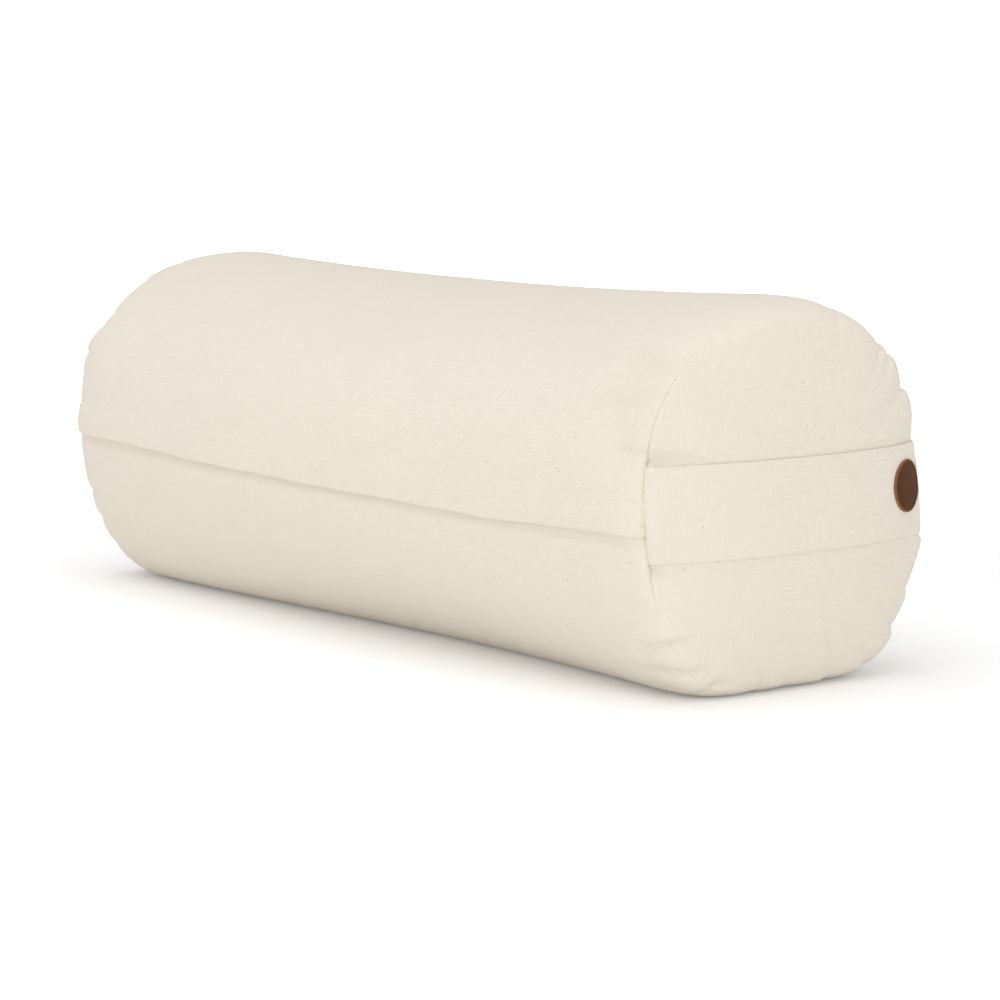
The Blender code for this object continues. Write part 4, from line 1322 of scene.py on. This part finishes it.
# %% Handle
STRAP_THICKNESS = 0.0016
STRAP_ROUND = 0.0007
STRAP_AIR = 0.0002
CORNER_LIFT = 0.0011  # how far the handle's two front corners stand off the end
CORNER_SPREAD = 0.003, 0.005  # across the handle and along it
EDGE_LIFT = 0.0004  # and how far the edge between them does
EDGE_SPREAD = 0.008
LIFT_FROM_SEAM = 0.006
TAIL_INSIDE = 0.0010  # how far inside the cover each tail starts
TAIL_LEAN = 0.12
HALF_FLAT = 0.1055  # half the handle's length on the flat, without its tails
TAIL_FLAT = 0.106
half_strap = STRAP_WIDTH / 2
graph = bpy.context.evaluated_depsgraph_get()
near_surface = BVHTree.FromObject(near_end, graph)
RAY_START = 0.4
face_steps = [half_strap * (-1 + 2 * k / 12) for k in range(13)]
face_steps[0] += STRAP_ROUND
face_steps[-1] -= STRAP_ROUND
rounding = [  # one long edge of the handle, from its face to its back
    (half_strap - STRAP_ROUND * 0.3, STRAP_THICKNESS * 0.86),
    (half_strap, STRAP_THICKNESS * 0.5),
    (half_strap - STRAP_ROUND * 0.3, STRAP_THICKNESS * 0.14),
]
strap_ring = [(s, STRAP_THICKNESS) for s in face_steps] + rounding
strap_ring += [(s, 0.0) for s in reversed(face_steps[::2])]
strap_ring += [(-s, up) for s, up in reversed(rounding)]
strap_ring.append(strap_ring[0])
ring_run = lengths_along(strap_ring)


def rim_reach(side_y, height):
    """How far across the near end its seam is at this height."""
    degrees = (255, 105) if side_y < 0 else (-75, 75)
    angle = angle_where(degrees, height, lambda angle: end_dome(1, angle, 1).z)
    return end_dome(1, angle, 1).y


def end_surface(across, height):
    """Place of the near end's surface under this point of the handle."""
    hit = near_surface.ray_cast(Vector((RAY_START, across, height)), Vector((-1, 0, 0)))[0]
    if hit is None:
        angle = math.atan2(height - AXIS_HEIGHT, across)
        return end_dome(1, angle, 1).x
    return hit.x


STRAP_SHARES = [-0.985, -0.965, -0.935] + [-0.9 + 1.8 * k / 52 for k in range(53)]
STRAP_SHARES += [0.935, 0.965, 0.985]
TAILS = (0.0085, 0.004, 0.0008)
strap_rows = [(-1, depth) for depth in TAILS] + [(0, share) for share in STRAP_SHARES]
strap_rows += [(1, depth) for depth in reversed(TAILS)]


def strap_point(column, row):
    offset, up = strap_ring[column]
    side, value = strap_rows[row]
    height = STRAP_HEIGHT + offset
    if side:
        reach = rim_reach(side, height)
        inside = TAIL_INSIDE + (STRAP_THICKNESS - up) + value * TAIL_LEAN
        return Vector((HALF_LENGTH - value, reach - side * inside, height))
    reach = rim_reach(-1 if value < 0 else 1, height)
    across = reach * abs(value)
    from_end = abs(reach) * (1 - abs(value))
    lift = 0.0
    if value < 0:
        beyond = from_end - LIFT_FROM_SEAM
        wide, long = CORNER_SPREAD
        lift = EDGE_LIFT * math.exp(-((beyond / EDGE_SPREAD) ** 2))
        corner = ((half_strap - abs(offset)) / wide) ** 2 + (beyond / long) ** 2
        lift += CORNER_LIFT * math.exp(-corner)
    return Vector((end_surface(across, height) + STRAP_AIR + lift + up, across, height))


def strap_flat(column, row):
    side, value = strap_rows[row]
    along_strap = HALF_FLAT * value if not side else side * (TAIL_FLAT + value)
    return (3 + along_strap, ring_run[column])


handle = shaped(
    "handle_strip", canvas_cloth, len(strap_ring) - 1, len(strap_rows) - 1, strap_point, strap_flat
)
close_and_face_out(handle)
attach(handle, "bolster")
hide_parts("handle_strap")
print("handle", len(handle.data.polygons), "faces")

# %% [markdown]
# ## Leather
#
# Dark brown vegetable-tanned leather has a fine pebbled grain, with pale worn points on the
# top of it. Where a die has cut it through, the edge shows the redder core, rubbed smooth.
# The badge's cloth map holds the distance from its middle, so the edge finds itself.

# %% Badge finish
BADGE_RADIUS = 0.0155
BADGE_EDGE = 0.0012


def leather():
    board = Board("badge_leather")
    place_on = board.object_place()
    from_middle, _, _ = board.split(board.cloth_place())
    grain = board.tree.nodes.new("ShaderNodeTexVoronoi")
    grain.inputs["Scale"].default_value = 1500.0
    board.feed(grain.inputs["Vector"], place_on)
    pebble = Wire(board, grain.outputs["Distance"])
    cloud = board.noise(place_on, 160.0, 3.0)
    fine = board.noise(place_on, 900.0, 2.0)
    edge = board.ramp(from_middle, BADGE_RADIUS - BADGE_EDGE, BADGE_RADIUS - BADGE_EDGE * 0.4)
    face = board.blend(cloud, (0.062, 0.021, 0.006), (0.104, 0.037, 0.012))
    worn = board.blend(board.ramp(fine, 0.56, 0.72, 0.0, 0.35), face, (0.17, 0.080, 0.038))
    colour = board.blend(edge, worn, (0.25, 0.105, 0.052))
    height = pebble * 0.7 + cloud * 0.5
    return board.finish(
        Base_Color=colour,
        Roughness=board.ramp(fine, 0.3, 0.7, 0.52, 0.70),
        Specular_IOR_Level=0.05,
        Normal=board.bump(height, 0.00028),
    )


badge_leather = leather()

# %% [markdown]
# The badge is a round of leather sewn flat on the handle. A short cylinder would stand stiffly
# off it. Its profile is drawn once, spun by the grid's columns, and each point is dropped on
# to the handle's face, so the round bends as the handle does.

# %% Badge
BADGE_ACROSS = 0.0880
BADGE_HEIGHT = STRAP_HEIGHT + 0.0028
BADGE_STEPS = 56
BADGE_PROFILE = [  # distance from the middle, height over the handle
    (0.0120, 0.0001),
    (0.0150, 0.0001),
    (0.0154, 0.0004),
    (0.0155, 0.0008),
    (0.01535, 0.0012),
    (0.0150, 0.00142),
    (0.0145, 0.00147),
    (0.0141, 0.0014),
    (0.0136, 0.00138),
    (0.0110, 0.00147),
    (0.0070, 0.0015),
    (0.0030, 0.0015),
    (0.0, 0.0015),
]
strap_surface = BVHTree.FromObject(handle, bpy.context.evaluated_depsgraph_get())


def on_handle(across, height):
    """The point of the handle's face in front of this place."""
    return strap_surface.ray_cast(Vector((RAY_START, across, height)), Vector((-1, 0, 0)))[0]


def badge_point(column, row):
    reach, up = BADGE_PROFILE[row]
    turn = math.tau * column / BADGE_STEPS
    across = BADGE_ACROSS + reach * math.cos(turn)
    height = BADGE_HEIGHT + reach * math.sin(turn)
    return on_handle(across, height) + badge_normal * up


def slope_at_badge():
    points = [
        on_handle(BADGE_ACROSS + dy, BADGE_HEIGHT + dz)
        for dy, dz in ((-0.01, 0), (0.01, 0), (0, -0.01), (0, 0.01))
    ]
    return (points[1] - points[0]).cross(points[3] - points[2]).normalized()


badge_normal = slope_at_badge()
badge = shaped(
    "badge_round",
    badge_leather,
    BADGE_STEPS,
    len(BADGE_PROFILE) - 1,
    badge_point,
    lambda column, row: (BADGE_PROFILE[row][0], math.tau * column / BADGE_STEPS * BADGE_RADIUS),
)
close_and_face_out(badge)
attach(badge, "bolster")
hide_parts("leather_badge")
print("badge", len(badge.data.polygons), "faces, facing", [round(c, 2) for c in badge_normal])

# %% [markdown]
# ## The zip
#
# The zip's tapes are narrow woven bands. Each lies level beside its row of teeth and then
# climbs to the stitches that hold it behind the cover. The teeth, the slider, its pull and
# the stops keep the solid model's shapes, and get the finish of moulded resin and of
# plated zinc, which is bright on its edges and duller where fingers and cloth rub it.

# %% Zip tapes
ZIP_ABOVE = 0.011  # the zip's height over the lap's fold
ZIP_DEPTH_PLACE = -0.11193071
TEETH_HALF = 0.239
SPREAD_LENGTH = 0.0075  # over which the slider's wedge drives the rows apart
ROW_SPREAD = 0.0024
TAPE_REACH = TEETH_HALF + 0.0137
TAPE_INNER = 0.0028  # from the middle of the teeth to a tape's inner edge
TAPE_FLAT = 0.007  # and to where it leaves their level
TAPE_CLOTH = 0.0005
TAPE_RIB = 0.0007
TAPE_PICK = 0.0009
TAPE_COLUMNS = 8
TAPE_LEVEL = 2  # of those columns, how many lie level
TAPE_COLUMN = 0.003  # how far apart they lie on the cloth map
SEWN = {1: (0.029, 0.00175), -1: (-0.002, 0.00275)}  # height over the fold, depth in the cover
TAPE_STEPS = 90
TAPE_TURN = Matrix.Rotation(LAP_TILT, 4, "Y")


def tape_weave():
    board = Board("tape_weave")
    along, across, _ = board.split(board.cloth_place())
    ribs = board.maths("SINE", across * (math.tau / TAPE_RIB))
    picks = board.maths("SINE", along * (math.tau / TAPE_PICK))
    threads = ribs * picks
    soft = board.noise(board.join(along * 60.0, across * 500.0), 1.0)
    tone = 1.0 + threads * 0.06 + (soft - 0.5) * 0.12
    return board.finish(
        Base_Color=board.toned((0.72, 0.66, 0.55), tone),
        Roughness=0.8,
        Specular_IOR_Level=0.3,
        Normal=board.bump(threads + ribs * 0.5, 0.00008),
    )


tape_look = tape_weave()


def make_tape(name, side):
    xs = evenly(-TAPE_REACH, TAPE_REACH, TAPE_STEPS)
    above, depth = SEWN[side]

    def point_at(column, row):
        x = xs[row]
        spread = ROW_SPREAD * max(0, min(1, (x - TEETH_HALF + SPREAD_LENGTH) / SPREAD_LENGTH))
        inner = TAPE_TURN @ Vector((x, 0, side * (TAPE_INNER + spread)))
        flat = TAPE_TURN @ Vector((x, 0, side * TAPE_FLAT))
        origin = Vector((0, ZIP_DEPTH_PLACE, LAP_HEIGHT + ZIP_ABOVE))
        if column <= TAPE_LEVEL:
            return origin + inner.lerp(flat, column / TAPE_LEVEL)
        share = (column - TAPE_LEVEL) / (TAPE_COLUMNS - TAPE_LEVEL)
        sewn = lapped_side(x, above, -depth)
        return (origin + flat).lerp(sewn, share)

    def flat_at(column, row):
        return (xs[row] + 5, column * TAPE_COLUMN * side)

    tape = shaped(name, tape_look, TAPE_COLUMNS, TAPE_STEPS, point_at, flat_at)
    face_toward(tape, (0, -1, 0))
    wall(tape, TAPE_CLOTH, 0.0)
    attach(tape, "bolster")
    return tape


for name, node, side in (
    ("tape_upper", "zip_tape_upper", 1),
    ("tape_lower", "zip_tape_lower", -1),
):
    tape = make_tape(name, side)
    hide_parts(node)
    print(name, len(tape.data.polygons), "faces")

# %% Resin and zinc


def resin():
    board = Board("zip_resin")
    place_on = board.object_place()
    mottle = board.noise(place_on, 260.0, 3.0)
    flow = board.noise(place_on, 1400.0, 2.0)
    colour = board.blend(mottle, (0.64, 0.58, 0.455), (0.75, 0.69, 0.565))
    return board.finish(
        Base_Color=colour,
        Roughness=board.ramp(flow, 0.3, 0.7, 0.34, 0.5),
        Normal=board.bump(flow, 0.00003),
    )


def zinc():
    board = Board("plated_zinc")
    place_on = board.object_place()
    cast = board.noise(place_on, 900.0, 3.0)
    x, y, z = board.split(place_on)
    scratches = board.noise(board.join(x * 400.0, y * 400.0, z * 3200.0), 1.0, 2.0)
    colour = board.blend(cast, (0.46, 0.44, 0.41), (0.62, 0.60, 0.56))
    return board.finish(
        Base_Color=colour,
        Metallic=1.0,
        Roughness=board.ramp(scratches, 0.3, 0.7, 0.26, 0.42),
        Normal=board.bump(cast, 0.00003),
    )


ROWS = "zip_teeth_upper", "zip_teeth_lower"
METAL = "zip_slider", "zip_pull", "zip_top_stop_upper", "zip_top_stop_lower", "zip_bottom_stop"
for nodes, look in ((ROWS, resin()), (METAL, zinc())):
    for node in nodes:
        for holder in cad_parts[node].material_slots:
            holder.material = look
print("zip finishes on", len(ROWS + METAL), "nodes")

# %% [markdown]
# ## The inner bag
#
# Inside the cover the filling has its own bag of thin calico, so that the cover can be
# washed. It shows only when the lap is lifted. A scaled copy of the cover would cut through
# the zip, so two rays set each point here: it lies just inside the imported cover, and no
# further out than the solid model's own bag, which has the zip's hollow pressed in it.

# %% Calico


def calico():
    board = Board("calico")
    along, across, _ = board.split(board.cloth_place())
    threads = weave(board, along * 1.6, across * 1.6)
    soft = board.noise(board.join(along * 30.0, across * 30.0), 1.0, 3.0)
    tone = 1.0 + (threads - 0.6) * 0.08 + (soft - 0.5) * 0.08
    return board.finish(
        Base_Color=board.toned((0.78, 0.72, 0.60), tone),
        Roughness=0.9,
        Specular_IOR_Level=0.25,
        Normal=board.bump(threads + soft, 0.0001),
    )


calico_look = calico()

# %% Inner bag
BAG_LEVELS = (-0.003, 0.0008, 0.0045, 0.011, 0.0175, 0.024, 0.0305)
BAG_AROUND = 60
BAG_COLUMNS = BAG_AROUND + len(BAG_LEVELS) - 1
BAG_INSIDE = 0.0019  # how far it lies inside the cover
BAG_END = HALF_LENGTH - 0.004
BAG_RIM_IN = 0.006
BAG_DOME_IN = 0.003
BAG_BULGE = 0.014
BAG_COLUMN = 0.011  # how far apart its columns lie on the cloth map
bag_stations = [BAG_END * math.sin(math.pi / 2 * (-1 + 2 * k / 46)) for k in range(47)]
BAG_SHARES = (0.9, 0.75, 0.55, 0.3, 0)
bag_rows = [(-1, share) for share in reversed(BAG_SHARES)] + [(0, x) for x in bag_stations]
bag_rows += [(1, share) for share in BAG_SHARES]


def surface_of(*things):
    """The surface of these objects together, for rays."""
    joined = bmesh.new()
    for thing in things:
        joined.from_mesh(thing.data)
    tree = BVHTree.FromBMesh(joined)
    joined.free()
    return tree


solid_bag = surface_of(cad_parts["liner_body"])
packed_tree = surface_of(cover, near_end, far_end)
OUTSIDE = 0.3


def reach_to(tree, axis_point, direction):
    """How far this surface lies from the bolster's axis in this direction."""
    start = axis_point + direction * OUTSIDE
    hit = tree.ray_cast(start, -direction)[0]
    return (hit - axis_point).length if hit else None


def bag_angles(x):
    at = [angle_at(x, fold_height(x) + up) for up in BAG_LEVELS]
    return at[:-1] + evenly(at[-1], at[0] - math.tau, BAG_AROUND)


def bag_ring(x):
    ring = []
    axis_point = Vector((x, 0, AXIS_HEIGHT))
    for angle in bag_angles(x)[:-1]:
        direction = Vector((0, math.cos(angle), math.sin(angle)))
        limits = [
            reach - spare
            for reach, spare in (
                (reach_to(packed_tree, axis_point, direction), BAG_INSIDE),
                (reach_to(solid_bag, axis_point, direction), 0.0),
            )
            if reach
        ]
        ring.append(axis_point + direction * min(limits))
    return ring


bag_rings = [bag_ring(x) for x in bag_stations]


def bag_point(column, row):
    kind, value = bag_rows[row]
    column %= BAG_COLUMNS
    if not kind:
        return bag_rings[bag_stations.index(value)][column]
    rim = bag_rings[-1 if kind > 0 else 0][column]
    angle = math.atan2(rim.z - AXIS_HEIGHT, rim.y)
    rim_x = kind * (HALF_LENGTH + END_BULGE * (1 - BAG_SHARES[0] ** END_BULGE_SHAPE) - BAG_RIM_IN)
    flat = Vector((rim_x, rim.y * value, AXIS_HEIGHT + (rim.z - AXIS_HEIGHT) * value))
    dome = end_dome(kind, angle, value)
    flat.x = kind * min(abs(dome.x) - BAG_DOME_IN, abs(rim_x) + BAG_BULGE * (1 - value))
    return flat


def bag_flat(column, row):
    point = bag_point(column, row)
    return (point.x, column * BAG_COLUMN)


inner_bag = shaped(
    "inner_bag", calico_look, BAG_COLUMNS, len(bag_rows) - 1, bag_point, bag_flat
)
close_and_face_out(inner_bag)
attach(inner_bag, "bolster")
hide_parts("liner_body", "liner_end_near", "liner_end_far", "filling")
print("inner bag", len(inner_bag.data.polygons), "faces")

# %% Sizes and finish
low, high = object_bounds()
print("dressed", [round(b - a, 4) for a, b in zip(low, high)])
